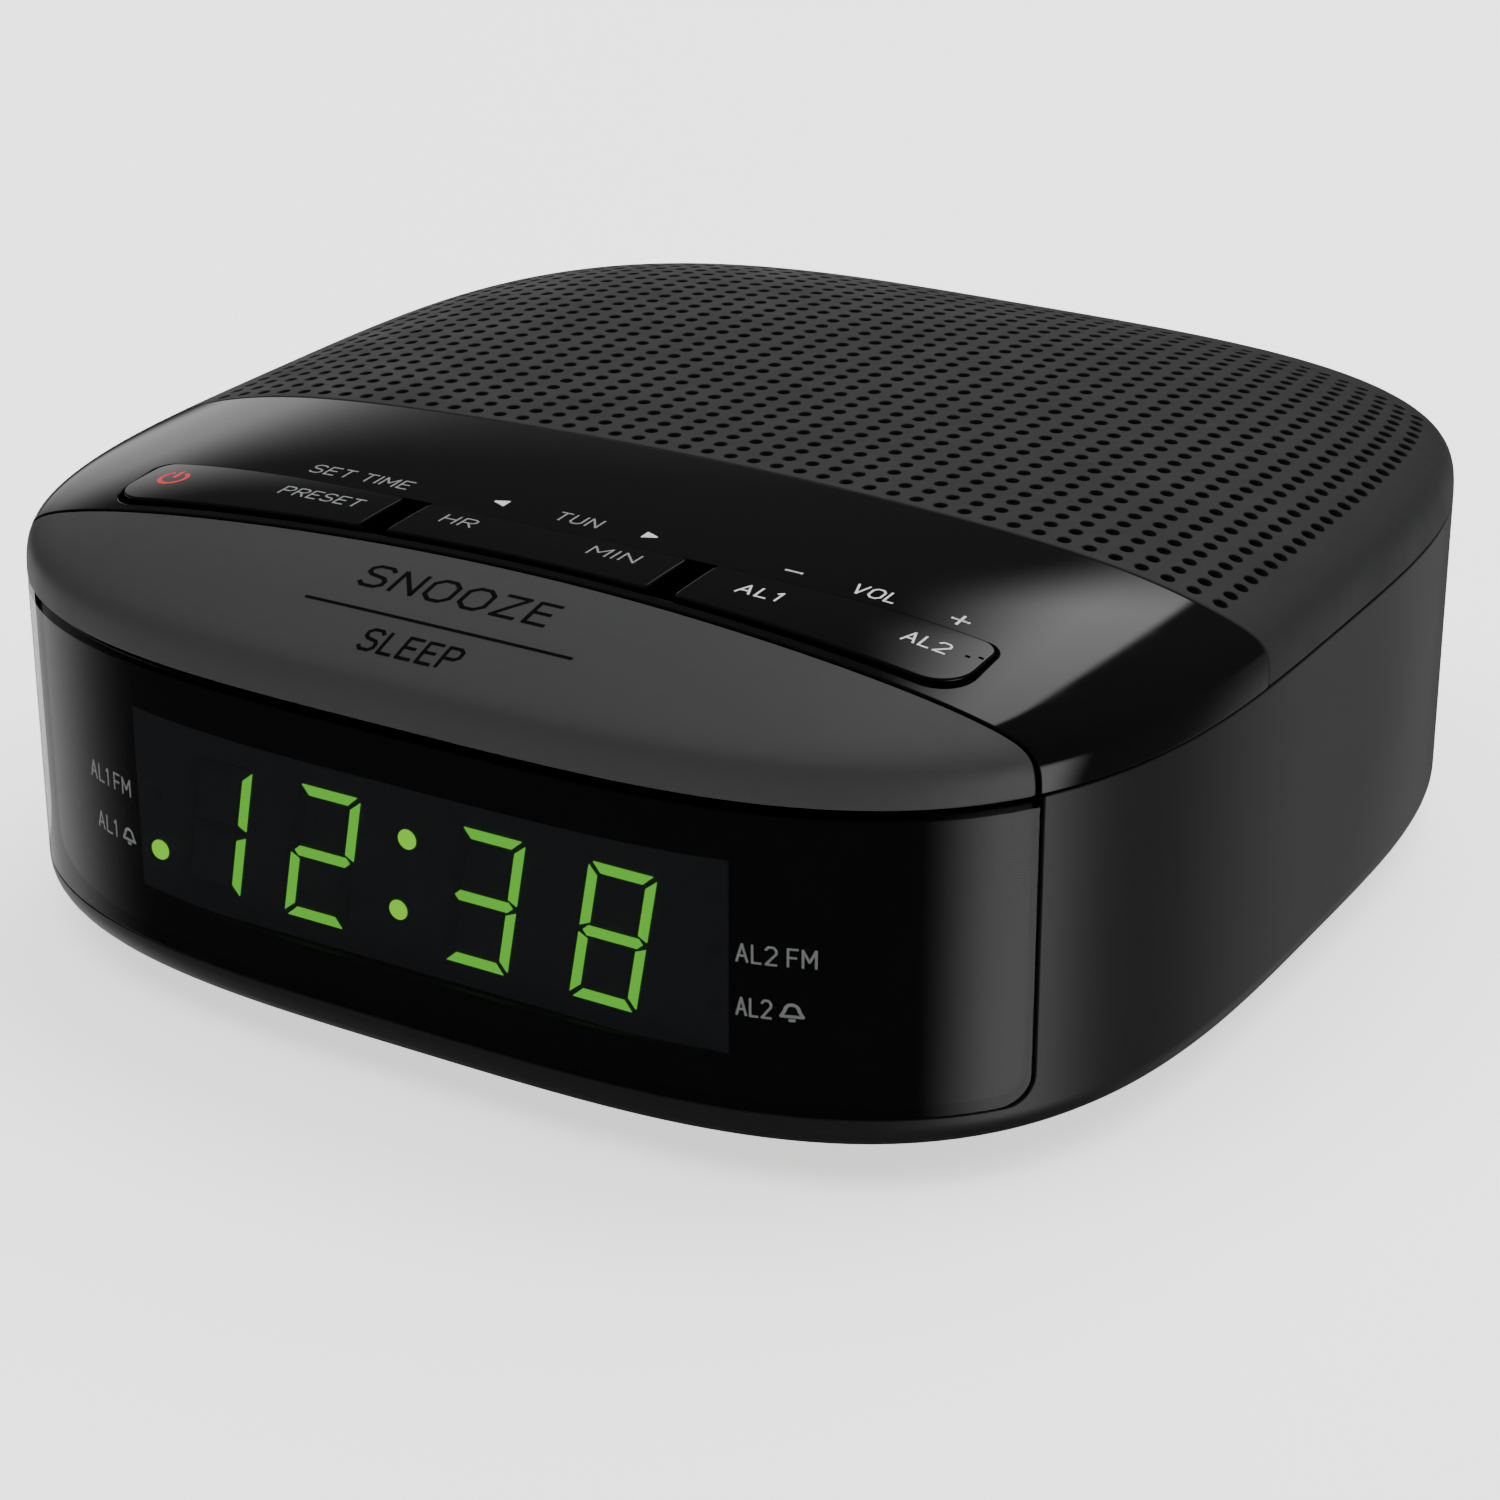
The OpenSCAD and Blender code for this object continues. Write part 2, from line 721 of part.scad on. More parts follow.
module transformer_core() {
    z = floor_z + 2;
    color("#4a4c50")
    difference() {
        block([core_x[0], -2, z], [core_x[1], 30, z + 27]);
        block([core_x[0] - 1, 4, z + 4], [core_x[1] + 1, 24, z + 9]);
        block([core_x[0] - 1, 4, z + 18], [core_x[1] + 1, 24, z + 23]);
    }
}

module transformer_bobbin() {
    z = floor_z + 2;
    color("#c8b478") {
        difference() {
            block([core_x[0] - 3, 4.2, z + 4.2], [core_x[1] + 1.6, 23.8, z + 22.8]);
            block([core_x[0] - 0.1, 0, z + 8.8], [core_x[1] + 0.1, 30, z + 18.2]);
        }
    }
}

module battery_springs() {
    z = floor_z + 2 + bay[2] / 2;
    color("#c2c4c6")
    for (s = [-1, 1]) translate([s * (bay[0] / 2 - 0.6), bay_y + s * 5.8, z])
        rotate([0, -s * 90, 0]) coil(2.4, 0.6, 0, 4.4, 3);
}

module battery_plates() {
    z = floor_z + 2 + bay[2] / 2;
    color("#c2c4c6")
    for (s = [-1, 1]) {
        block([s * (bay[0] / 2 - 0.3) - 0.3, bay_y - 11, z - 4],
              [s * (bay[0] / 2 - 0.3) + 0.3, bay_y + 11, z + 4]);
    }
}

module rubber_foot() {
    color("#2c2c2c") rotate_extrude($fn = 48) polygon([
        [0, 0], [foot_d / 2 - 0.8, 0], [foot_d / 2, 0.8], [foot_d / 2, floor_z + 0.8],
        [0, floor_z + 0.8]]);
}

module foot_front_left() { translate([-foot[0], -foot[1], 0]) rubber_foot(); }
module foot_front_right() { translate([foot[0], -foot[1], 0]) rubber_foot(); }
module foot_rear_left() { translate([-foot[0], foot[1], 0]) rubber_foot(); }
module foot_rear_right() { translate([foot[0], foot[1], 0]) rubber_foot(); }

// A round-headed screw hanging from z, head down when length is positive upwards
module screw(head_d, head_h, shank_d, z, length) {
    up = length > 0 ? 1 : -1;
    translate([0, 0, z]) mirror([0, 0, up > 0 ? 0 : 1]) difference() {
        union() {
            cylinder(d = head_d, h = head_h, $fn = 32);
            cylinder(d = shank_d, h = abs(length), $fn = 32);
        }
        translate([0, 0, -0.1]) {
            translate([-head_d * 0.3, -0.25, 0]) cube([head_d * 0.6, 0.5, head_h * 0.6]);
            translate([-0.25, -head_d * 0.3, 0]) cube([0.5, head_d * 0.6, head_h * 0.6]);
        }
    }
}

module case_screws() {
    color("#6f7073") four(post) screw(5.4, 0.99, 2.5, floor_z + 0.01, 12);
}

module frame_screws() {
    color("#6f7073") four(post) screw(5.4, 1.4, 2.5, frame_z[1] + 1.4, -10);
}

module board_screws() {
    color("#6f7073") {
        key_screw_places()
            screw(3.6, 1, 1.6, keyboard_z + board_t + 1, -5);
        main_screw_places()
            screw(4, 1.2, 1.8, mainboard_z + board_t + 1.2, -7);
    }
}

module speaker_screws() {
    color("#6f7073")
    speaker_screw_places() screw(2.6, 0.8, 1.8, flange_z - 0.8, 4);
}

case_body();
bottom_cover();
battery_door();
front_lens();
control_panel();
key_power();
key_tuning();
key_alarm();
snooze_bar();
grille_cover();
inner_frame();
display_module();
display_segments();
display_board();
ribbon_cable();
key_board();
key_switches();
snooze_switch();
snooze_plunger();
snooze_springs();
main_board();
capacitors();
radio_chips();
tuning_coils();
heat_sink();
speaker_basket();
speaker_magnet();
speaker_cone();
speaker_surround();
speaker_gasket();
speaker_wires();
transformer_core();
transformer_bobbin();
battery_springs();
battery_plates();
cord_bush();
foot_front_left();
foot_front_right();
foot_rear_left();
foot_rear_right();
case_screws();
frame_screws();
board_screws();
speaker_screws();
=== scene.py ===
"""The looks of a bedside clock radio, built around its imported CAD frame.

Sizes are in millimetres until a piece is made. Each skin is a function of two parameters, and
shell() turns it into a moulding with a wall thickness and softly rounded edges.
"""

import logging
import math
from dataclasses import dataclass
from enum import Enum
from typing import Callable, Sequence

import bpy
import numpy as np
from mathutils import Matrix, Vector


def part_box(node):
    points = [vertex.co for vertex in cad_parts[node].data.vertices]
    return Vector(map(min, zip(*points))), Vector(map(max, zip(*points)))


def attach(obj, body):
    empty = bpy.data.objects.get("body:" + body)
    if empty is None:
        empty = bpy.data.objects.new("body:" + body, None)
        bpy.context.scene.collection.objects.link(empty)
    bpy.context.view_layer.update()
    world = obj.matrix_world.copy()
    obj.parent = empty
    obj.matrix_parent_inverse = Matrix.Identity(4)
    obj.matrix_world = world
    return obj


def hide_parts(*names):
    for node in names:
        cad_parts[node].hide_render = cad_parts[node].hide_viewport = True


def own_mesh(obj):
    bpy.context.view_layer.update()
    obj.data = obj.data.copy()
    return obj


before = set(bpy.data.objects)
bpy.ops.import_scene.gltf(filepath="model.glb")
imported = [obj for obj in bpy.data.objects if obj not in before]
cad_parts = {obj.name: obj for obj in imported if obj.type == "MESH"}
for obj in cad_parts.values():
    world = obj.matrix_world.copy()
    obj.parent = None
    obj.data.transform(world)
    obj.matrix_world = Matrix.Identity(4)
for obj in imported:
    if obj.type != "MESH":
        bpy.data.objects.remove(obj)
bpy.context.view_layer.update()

LOG = logging.getLogger("clock_radio")
MM = 0.001


def box_mm(node: str) -> tuple[np.ndarray, np.ndarray]:
    """The lowest and highest corners of a CAD node, in millimetres.

    Args:
        node: Name of the CAD node.

    Returns:
        Two arrays of x, y and z.
    """
    low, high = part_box(node)
    return np.array(low) / MM, np.array(high) / MM


# ---------- skins and mouldings ----------


@dataclass
class Skin:
    """One side of a moulding: points, outward normals, and faces of four corners."""

    points: np.ndarray
    normals: np.ndarray
    faces: np.ndarray


@dataclass
class Body:
    """A finished mesh in millimetres: points, their normals, and faces."""

    points: np.ndarray
    normals: np.ndarray
    faces: np.ndarray


def unit(vectors: np.ndarray) -> np.ndarray:
    """Vectors divided by their lengths.

    Args:
        vectors: Array whose last axis holds x, y and z.

    Returns:
        The unit vectors.
    """
    return vectors / np.maximum(np.linalg.norm(vectors, axis=-1, keepdims=True), 1e-12)


def grid_faces(rows: int, columns: int) -> np.ndarray:
    """Faces between neighbouring rows and columns of a grid, counter-clockwise from outside.

    Args:
        rows: Number of rows of points.
        columns: Number of points in a row.

    Returns:
        Array of corner numbers, one row a face.
    """
    start = np.arange(rows - 1)[:, None] * columns + np.arange(columns - 1)[None, :]
    corners = np.stack([start, start + 1, start + columns + 1, start + columns], -1)
    return corners.reshape(-1, 4)


def grid_skin(points: np.ndarray, normals: np.ndarray) -> Skin:
    """A skin over a full grid of points.

    Args:
        points: Array of rows, columns and x, y, z.
        normals: Outward normals, in the same layout.

    Returns:
        The skin.
    """
    rows, columns = points.shape[:2]
    return Skin(points.reshape(-1, 3), normals.reshape(-1, 3), grid_faces(rows, columns))


def join(skins: Sequence[Skin]) -> Skin:
    """Several skins as one, with points that meet made into one point.

    Args:
        skins: The skins, whose edges share their points.

    Returns:
        The joined skin.
    """
    starts = np.cumsum([0] + [len(s.points) for s in skins[:-1]])
    points = np.concatenate([s.points for s in skins])
    normals = np.concatenate([s.normals for s in skins])
    faces = np.concatenate([s.faces + start for s, start in zip(skins, starts)])
    _, first, same = np.unique(
        np.round(points * 1000).astype(np.int64), axis=0, return_index=True, return_inverse=True
    )
    return Skin(points[first], normals[first], same.reshape(-1)[faces])


def shell(skin: Skin, thickness: float, radius: float | np.ndarray, steps: int = 3) -> Body:
    """A moulding: the skin, a rounded rim, the rim's wall, and the skin moved inwards.

    A face's edge is on the rim where no other face runs along it the other way. At a rim point the
    rounding is a quarter circle from the normal N to the direction T = edge x N.

    Args:
        skin: The outer side.
        thickness: Wall thickness.
        radius: Radius of the rounded rim, one value or one for each point.
        steps: Straight steps in the rounding.

    Returns:
        The closed mesh.
    """
    points, normals, faces = skin.points, skin.normals, skin.faces
    count = len(points)
    start, end = faces.ravel(), np.roll(faces, -1, axis=1).ravel()
    real = start != end
    start, end = start[real], end[real]
    on_rim = ~np.isin(start * count + end, end * count + start)
    start, end = start[on_rim], end[on_rim]
    after, before = np.arange(count), np.arange(count)
    after[start] = end
    before[end] = start
    rim = np.unique(start)
    place = np.zeros(count, int)
    place[rim] = np.arange(len(rim))
    up = normals[rim]
    out = unit(np.cross(points[after[rim]] - points[before[rim]], up))
    r = np.broadcast_to(np.asarray(radius, float), (count,))[rim][:, None]
    rings, ring_normals = [], []
    for angle in np.linspace(0, math.pi / 2, steps + 1)[1:]:
        turned = up * math.cos(angle) + out * math.sin(angle)
        rings.append(points[rim] - r * up + r * turned)
        ring_normals.append(turned)
    rings.append(points[rim] + r * out - thickness * up)
    ring_normals.append(out)
    wall, near_start, near_end = [faces], start, end
    for level in range(len(rings)):
        far = count + level * len(rim)
        far_start, far_end = far + place[start], far + place[end]
        wall.append(np.stack([near_end, near_start, far_start, far_end], -1))
        near_start, near_end = far_start, far_end
    under = count + len(rings) * len(rim)
    wall.append(np.stack([near_end, near_start, under + start, under + end], -1))
    wall.append(faces[:, ::-1] + under)
    return Body(
        np.concatenate([points, *rings, points - thickness * normals]),
        np.concatenate([normals, *ring_normals, -normals]),
        np.concatenate(wall),
    )


def gather(bodies: Sequence[Body]) -> Body:
    """Several meshes side by side as one.

    Args:
        bodies: The meshes.

    Returns:
        One mesh holding them all.
    """
    starts = np.cumsum([0] + [len(b.points) for b in bodies[:-1]])
    return Body(
        np.concatenate([b.points for b in bodies]),
        np.concatenate([b.normals for b in bodies]),
        np.concatenate([b.faces + start for b, start in zip(bodies, starts)]),
    )


def make_piece(
    name: str, body: Body, finish: "Finish", rides: str, stands_for: Sequence[str] = ()
) -> bpy.types.Object:
    """A Blender object at the origin, with its place in its mesh.

    Args:
        name: Name of the piece.
        body: Its mesh in millimetres.
        finish: What it is made of.
        rides: The CAD body that it moves with.
        stands_for: CAD nodes that it replaces.

    Returns:
        The object.
    """
    used, faces = np.unique(body.faces, return_inverse=True)
    faces = faces.reshape(-1, 4)
    twice = (faces == np.roll(faces, -1, axis=1)).any(axis=1)
    rows = [tuple(row) for row in faces[~twice].tolist()]
    rows += [tuple(dict.fromkeys(row)) for row in faces[twice].tolist()]
    mesh = bpy.data.meshes.new(name)
    mesh.from_pydata((body.points[used] * MM).tolist(), [], [r for r in rows if len(r) > 2])
    mesh.polygons.foreach_set("use_smooth", np.ones(len(mesh.polygons), bool))
    mesh.normals_split_custom_set_from_vertices(unit(body.normals[used]).tolist())
    mesh.materials.append(finish.material())
    piece = bpy.data.objects.new(name, mesh)
    bpy.context.scene.collection.objects.link(piece)
    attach(piece, rides)
    if stands_for:
        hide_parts(*stands_for)
    LOG.info("%s: %d points, %d faces", name, len(mesh.vertices), len(mesh.polygons))
    return piece


# ---------- finishes ----------


def linear(colour: str) -> tuple[float, float, float, float]:
    """An sRGB hex colour as linear red, green, blue and alpha.

    Args:
        colour: Six hex digits after a hash sign.

    Returns:
        The linear colour.
    """
    parts = [int(colour[i : i + 2], 16) / 255 for i in (1, 3, 5)]
    values = [c / 12.92 if c <= 0.04045 else ((c + 0.055) / 1.055) ** 2.4 for c in parts]
    return values[0], values[1], values[2], 1.0


def add_node(tree: bpy.types.NodeTree, kind: str, settings: dict, links: dict) -> bpy.types.Node:
    """Adds a node with its settings and the links into it.

    Args:
        tree: The node tree.
        kind: Blender's name of the node type.
        settings: Values by socket name, or by attribute name after a dot.
        links: Output sockets by the name of the input that they feed.

    Returns:
        The node.
    """
    node = tree.nodes.new(kind)
    for key, value in settings.items():
        if key.startswith("."):
            setattr(node, key[1:], value)
        else:
            node.inputs[key].default_value = value
    for key, output in links.items():
        tree.links.new(output, node.inputs[key])
    return node


class Texture(Enum):
    """How a surface was made, as the stretch of its grain along x, y and z."""

    MOULDED = (1.0, 1.0, 1.0)
    BRUSHED_X = (0.04, 1.0, 1.0)
    DRAWN_Z = (1.0, 1.0, 0.05)
    FIBRE = (1.0, 0.25, 1.0)


@dataclass(frozen=True)
class Finish:
    """A material and the way its surface was made.

    The grain is noise of grain_mm that lifts the surface by relief_mm. A wider noise of patch_mm
    changes the roughness by roughness_spread and darkens the colour by shade.
    """

    name: str
    slot: str
    colour: str
    roughness: float
    relief_mm: float = 0.01
    grain_mm: float = 0.35
    patch_mm: float = 9.0
    roughness_spread: float = 0.06
    shade: float = 0.12
    metallic: float = 0.0
    coat: float = 0.0
    alpha: float = 1.0
    glow: float = 0.0
    texture: Texture = Texture.MOULDED

    def material(self) -> bpy.types.Material:
        """The material, made once and shared by the pieces that need it.

        Returns:
            The Blender material.
        """
        if self.name in bpy.data.materials:
            return bpy.data.materials[self.name]
        material = bpy.data.materials.new(self.name)
        material.use_nodes = True
        tree = material.node_tree
        tree.nodes.clear()
        place = add_node(tree, "ShaderNodeTexCoord", {}, {})
        turned = add_node(
            tree,
            "ShaderNodeMapping",
            {"Scale": self.texture.value},
            {"Vector": place.outputs["Object"]},
        )
        grain = add_node(
            tree,
            "ShaderNodeTexNoise",
            {"Scale": 1 / (self.grain_mm * MM), "Detail": 3.0, "Roughness": 0.55},
            {"Vector": turned.outputs["Vector"]},
        )
        bump = add_node(
            tree,
            "ShaderNodeBump",
            {"Distance": self.relief_mm * MM, "Strength": 1.0},
            {"Height": grain.outputs["Fac"]},
        )
        patch = add_node(
            tree,
            "ShaderNodeTexNoise",
            {"Scale": 1 / (self.patch_mm * MM), "Detail": 4.0, "Roughness": 0.6},
            {"Vector": turned.outputs["Vector"]},
        )
        rough = add_node(
            tree,
            "ShaderNodeMapRange",
            {
                "From Min": 0.3,
                "From Max": 0.7,
                "To Min": max(self.roughness - self.roughness_spread, 0.02),
                "To Max": min(self.roughness + self.roughness_spread, 1.0),
            },
            {"Value": patch.outputs["Fac"]},
        )
        dark = [c * (1 - self.shade) for c in linear(self.colour)[:3]] + [1.0]
        tint = add_node(tree, "ShaderNodeMix", {".data_type": "RGBA"}, {})
        tint.inputs[6].default_value = linear(self.colour)
        tint.inputs[7].default_value = dark
        tree.links.new(patch.outputs["Fac"], tint.inputs[0])
        settings = {
            "Metallic": self.metallic,
            "Coat Weight": self.coat,
            "Coat Roughness": 0.05,
            "Alpha": self.alpha,
        }
        if self.glow:
            settings["Emission Color"] = linear(self.colour)
            settings["Emission Strength"] = self.glow
        shader = add_node(
            tree,
            "ShaderNodeBsdfPrincipled",
            settings,
            {
                "Base Color": tint.outputs[2],
                "Roughness": rough.outputs["Result"],
                "Normal": bump.outputs["Normal"],
            },
        )
        add_node(tree, "ShaderNodeOutputMaterial", {}, {"Surface": shader.outputs["BSDF"]})
        return material


# Moulded ABS with a fine spark-eroded grain: satin black that catches a broad soft light.
CASE_ABS = Finish(
    "satin_black_abs", "case_plastic", "#151516", 0.4, relief_mm=0.005, grain_mm=0.3,
    patch_mm=30.0, roughness_spread=0.015,
)
# Unpainted high-impact polystyrene of the underside: dull black.
BASE_PLASTIC = Finish("moulded_black_polystyrene", "base_plastic", "#171718", 0.5)
# Smoked acrylic: a polished dark sheet that shows the lit digits behind it.
SMOKED_ACRYLIC = Finish(
    "smoked_acrylic", "smoked_lens", "#040405", 0.04, relief_mm=0.0006, grain_mm=14,
    roughness_spread=0.015, alpha=0.62,
)
# Piano-black polished ABS: mirror gloss with the faintest waviness of a moulding.
PIANO_BLACK = Finish(
    "polished_piano_black_abs", "gloss_panel", "#060607", 0.055, relief_mm=0.0012, grain_mm=18,
    roughness_spread=0.02,
)
# Soft-touch lacquer over ABS on the snooze bar: charcoal, matt, with a very fine tooth.
SOFT_TOUCH = Finish(
    "soft_touch_charcoal_lacquer", "snooze_plastic", "#323233", 0.5, relief_mm=0.006, grain_mm=0.25
)
# Matt textured ABS of the grille cover.
GRILLE_ABS = Finish(
    "matt_textured_abs", "grille_plastic", "#222223", 0.55, relief_mm=0.01, grain_mm=0.35
)
# Open black polyester cloth behind the grille, which keeps dust off the cone.
SPEAKER_CLOTH = Finish("black_polyester_cloth", "cone_paper", "#060606", 0.9, grain_mm=0.5)
# Printed black mask behind the lens.
MASK_BLACK = Finish("matt_black_mask", "case_plastic", "#050506", 0.7)
# Tinted diffuser over the light-emitting digits, with a painted glow that stands in for the light
# reaching the display window.
DIFFUSER_PAINTED_GLOW = Finish("grey_diffuser_painted_glow", "module_plastic", "#4a4c50", 0.55, glow=0.45)
# Black filled polycarbonate of the display module's housing.
MODULE_PLASTIC = Finish("black_filled_polycarbonate", "module_plastic", "#0c0c0d", 0.5)
# Epoxy-filled light pipes, lit green by the diodes behind them.
LIT_SEGMENT = Finish(
    "lit_green_epoxy", "digit_light", "#6fe63c", 0.4, glow=4.6, shade=0.25, patch_mm=2.0
)
# The round lamps, a little yellower and brighter than the bars.
LIT_DOT = Finish("lit_green_lamp", "digit_light", "#8bf52a", 0.4, glow=5.5, patch_mm=2.0)
# A light pipe with its diode off, given a painted glow so that it reads as grey as the diffuser
# round it.
UNLIT_SEGMENT_PAINTED_GLOW = Finish("unlit_epoxy_painted_glow", "digit_light", "#46484a", 0.5, glow=0.42)
# Pad-printed off-white ink of the function marks on the right.
WHITE_INK = Finish("off_white_pad_ink", "gloss_panel", "#c9cac8", 0.5, grain_mm=0.1)
# The same print painted darker where it reads dimmer, on the left and in the middle: painted shade.
SHADED_INK = Finish("pad_ink_painted_shade", "gloss_panel", "#77787a", 0.5, grain_mm=0.1)
# Red print of the power mark, with a faint painted glow.
RED_INK_PAINTED_GLOW = Finish("red_pad_ink_painted_glow", "gloss_panel", "#c8202e", 0.5, grain_mm=0.1, glow=0.12)
# Painted shade for the floor of a shallow engraved mark, which sees little light: a dark strip laid
# on the surface.
ENGRAVING_SHADE = Finish("engraved_recess_painted_shade", "snooze_plastic", "#050505", 0.95, grain_mm=0.1)
# Bright drawn steel wire.
SPRING_WIRE = Finish(
    "drawn_spring_steel", "spring_steel", "#a9abad", 0.3, metallic=1.0, texture=Texture.DRAWN_Z
)
# Fine grey print on the mask, read through the smoked lens; its glow is painted light that lifts it
# through the dark lens.
LENS_INK_PAINTED_GLOW = Finish("grey_mask_ink_painted_glow", "case_plastic", "#e2e4e6", 0.6, glow=1.1, grain_mm=0.1)
# Seamless white paper: matt, evenly lit.
FLOOR_PAPER = Finish(
    "seamless_white_paper", "", "#f6f6f5", 0.9, shade=0.02, grain_mm=2.0, glow=1.3
)

# What each CAD node that stays in view is made of.
INNER_FINISHES: dict[str, Finish] = {
    "bottom_cover": BASE_PLASTIC,
    "battery_door": BASE_PLASTIC,
    "inner_frame": Finish("grey_moulded_frame", "frame_plastic", "#242426", 0.55),
    "display_module": MODULE_PLASTIC,
    "snooze_plunger": Finish("white_acetal", "plunger_plastic", "#d8d8d4", 0.35),
    "key_switches": Finish("black_nylon_switch", "switch_plastic", "#1a1a1b", 0.45),
    "snooze_switch": Finish("black_nylon_switch", "switch_plastic", "#1a1a1b", 0.45),
    "capacitors": Finish("black_capacitor_sleeve", "capacitor_sleeve", "#141a2a", 0.3, coat=0.4),
    "radio_chips": Finish("moulded_epoxy_package", "chip_plastic", "#151515", 0.55, grain_mm=0.15),
    "tuning_coils": Finish("tinned_coil_can", "coil_can", "#b8b9ba", 0.3, metallic=1.0),
    "heat_sink": Finish(
        "extruded_aluminium", "sink_metal", "#a8aaad", 0.35, metallic=1.0, texture=Texture.DRAWN_Z
    ),
    "speaker_basket": Finish(
        "zinc_plated_pressed_steel", "basket_steel", "#8d8f92", 0.35, metallic=1.0
    ),
    "speaker_magnet": Finish("sintered_ferrite", "magnet", "#2c2b2c", 0.6, relief_mm=0.03),
    "speaker_cone": Finish(
        "pressed_paper_cone", "cone_paper", "#1b1a19", 0.85, relief_mm=0.04, texture=Texture.FIBRE
    ),
    "speaker_surround": Finish("rolled_rubber_surround", "surround_rubber", "#121212", 0.6),
    "speaker_gasket": Finish("closed_cell_foam", "gasket_foam", "#1e1e1e", 0.9, relief_mm=0.12),
    "speaker_wires": Finish("red_pvc_insulation", "wire_jacket", "#8f2420", 0.4),
    "transformer_core": Finish(
        "varnished_core_laminations", "core_steel", "#4b4d50", 0.4, metallic=0.9, relief_mm=0.05,
        grain_mm=0.5, texture=Texture.BRUSHED_X,
    ),
    "transformer_bobbin": Finish(
        "yellow_winding_tape", "bobbin_tape", "#c6a646", 0.35, texture=Texture.BRUSHED_X
    ),
    "battery_springs": SPRING_WIRE,
    "battery_plates": Finish(
        "nickel_plated_contact", "spring_steel", "#b4b3ae", 0.28, metallic=1.0
    ),
    "cord_bush": Finish("black_pvc_bush", "bush_rubber", "#131313", 0.55),
    "ribbon_cable": Finish(
        "grey_ribbon_jacket", "ribbon", "#8b8d90", 0.45, relief_mm=0.08, grain_mm=0.6,
        texture=Texture.DRAWN_Z,
    ),
}
# Glass-fibre circuit board under green solder mask.
BOARD = Finish("green_solder_mask", "circuit_board", "#14492c", 0.28, coat=0.3, patch_mm=3.0)
# Moulded rubber, matt and slightly rough.
FOOT_RUBBER = Finish("moulded_rubber_foot", "foot_rubber", "#1d1d1d", 0.75, relief_mm=0.02)
# Black zinc-plated steel of the screws.
SCREW_STEEL = Finish("black_zinc_screw_steel", "screw_steel", "#3b3c3e", 0.35, metallic=1.0)
# Finishes that several CAD nodes share.
GROUPS: dict[Finish, tuple[str, ...]] = {
    BOARD: ("display_board", "key_board", "main_board"),
    FOOT_RUBBER: ("foot_front_left", "foot_front_right", "foot_rear_left", "foot_rear_right"),
    SCREW_STEEL: ("case_screws", "frame_screws", "board_screws", "speaker_screws"),
}


def dress_cad_nodes() -> None:
    """Gives every CAD node that stays in view its finish."""
    rows = list(INNER_FINISHES.items())
    rows += [(node, finish) for finish, nodes in GROUPS.items() for node in nodes]
    for node, finish in rows:
        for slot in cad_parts[node].material_slots:
            slot.material = finish.material()
    LOG.info("dressed %d CAD nodes", len(rows))


# ---------- the shapes that the case is drawn from ----------


@dataclass(frozen=True)
class Outline:
    """The case outline in plan: |x / half_w|^power + |y / half_d|^power = 1."""

    half_w: float
    half_d: float
    power: float = 3.45

    def scale(self, x: np.ndarray, y: np.ndarray) -> np.ndarray:
        """Scale of the outline that passes through each point.

        Args:
            x: Distances to the right.
            y: Distances to the back.

        Returns:
            The scales, 1 on the outline.
        """
        total = np.abs(x / self.half_w) ** self.power + np.abs(y / self.half_d) ** self.power
        return np.maximum(total, 1e-12) ** (1 / self.power)

    def slope(self, x: np.ndarray, y: np.ndarray) -> np.ndarray:
        """How fast the scale grows along x and y, the plan direction of the outward normal.

        Args:
            x: Distances to the right.
            y: Distances to the back.

        Returns:
            Array with x and y parts on its last axis.
        """
        size = self.scale(x, y)
        along_x = np.sign(x) * (np.abs(x) / self.half_w / size) ** (self.power - 1) / self.half_w
        along_y = np.sign(y) * (np.abs(y) / self.half_d / size) ** (self.power - 1) / self.half_d
        return np.stack([along_x, along_y], -1)

    def half_width(self, y: np.ndarray | float, size: float = 1.0) -> np.ndarray:
        """Distance from the middle to the side at each y.

        Args:
            y: Distances to the back.
            size: Scale of the outline.

        Returns:
            Half-widths.
        """
        rest = 1 - np.abs(np.asarray(y) / (self.half_d * size)) ** self.power
        return self.half_w * size * np.maximum(rest, 0) ** (1 / self.power)

    def front(self, x: np.ndarray, size: float = 1.0) -> np.ndarray:
        """The y of the front of the outline at each x.

        Args:
            x: Distances to the right.
            size: Scale of the outline.

        Returns:
            Values of y, all negative.
        """
        rest = 1 - np.abs(x / (self.half_w * size)) ** self.power
        return -self.half_d * size * np.maximum(rest, 0) ** (1 / self.power)

    def from_square(self, u: np.ndarray, v: np.ndarray) -> tuple[np.ndarray, np.ndarray]:
        """Plan place of a point of the square from -1 to 1, whose edge lands on the outline.

        x = half_w u (1 - |v|^power / 2)^(1 / power), and y likewise with u and v exchanged.

        Args:
            u: Places across.
            v: Places from front to back.

        Returns:
            x and y.
        """
        x = self.half_w * u * (1 - np.abs(v) ** self.power / 2) ** (1 / self.power)
        y = self.half_d * v * (1 - np.abs(u) ** self.power / 2) ** (1 / self.power)
        return x, y

    def walk(self) -> tuple[np.ndarray, np.ndarray]:
        """The outline as a fine closed line from the middle of the front, going right.

        Returns:
            Distance walked, and the points.
        """
        turn = np.linspace(-math.pi / 2, 3 * math.pi / 2, 7201)
        ray = np.stack([np.cos(turn), np.sin(turn)], -1)
        points = ray / self.scale(ray[:, 0], ray[:, 1])[:, None]
        steps = np.linalg.norm(np.diff(points, axis=0), axis=1)
        return np.concatenate([[0.0], np.cumsum(steps)]), points


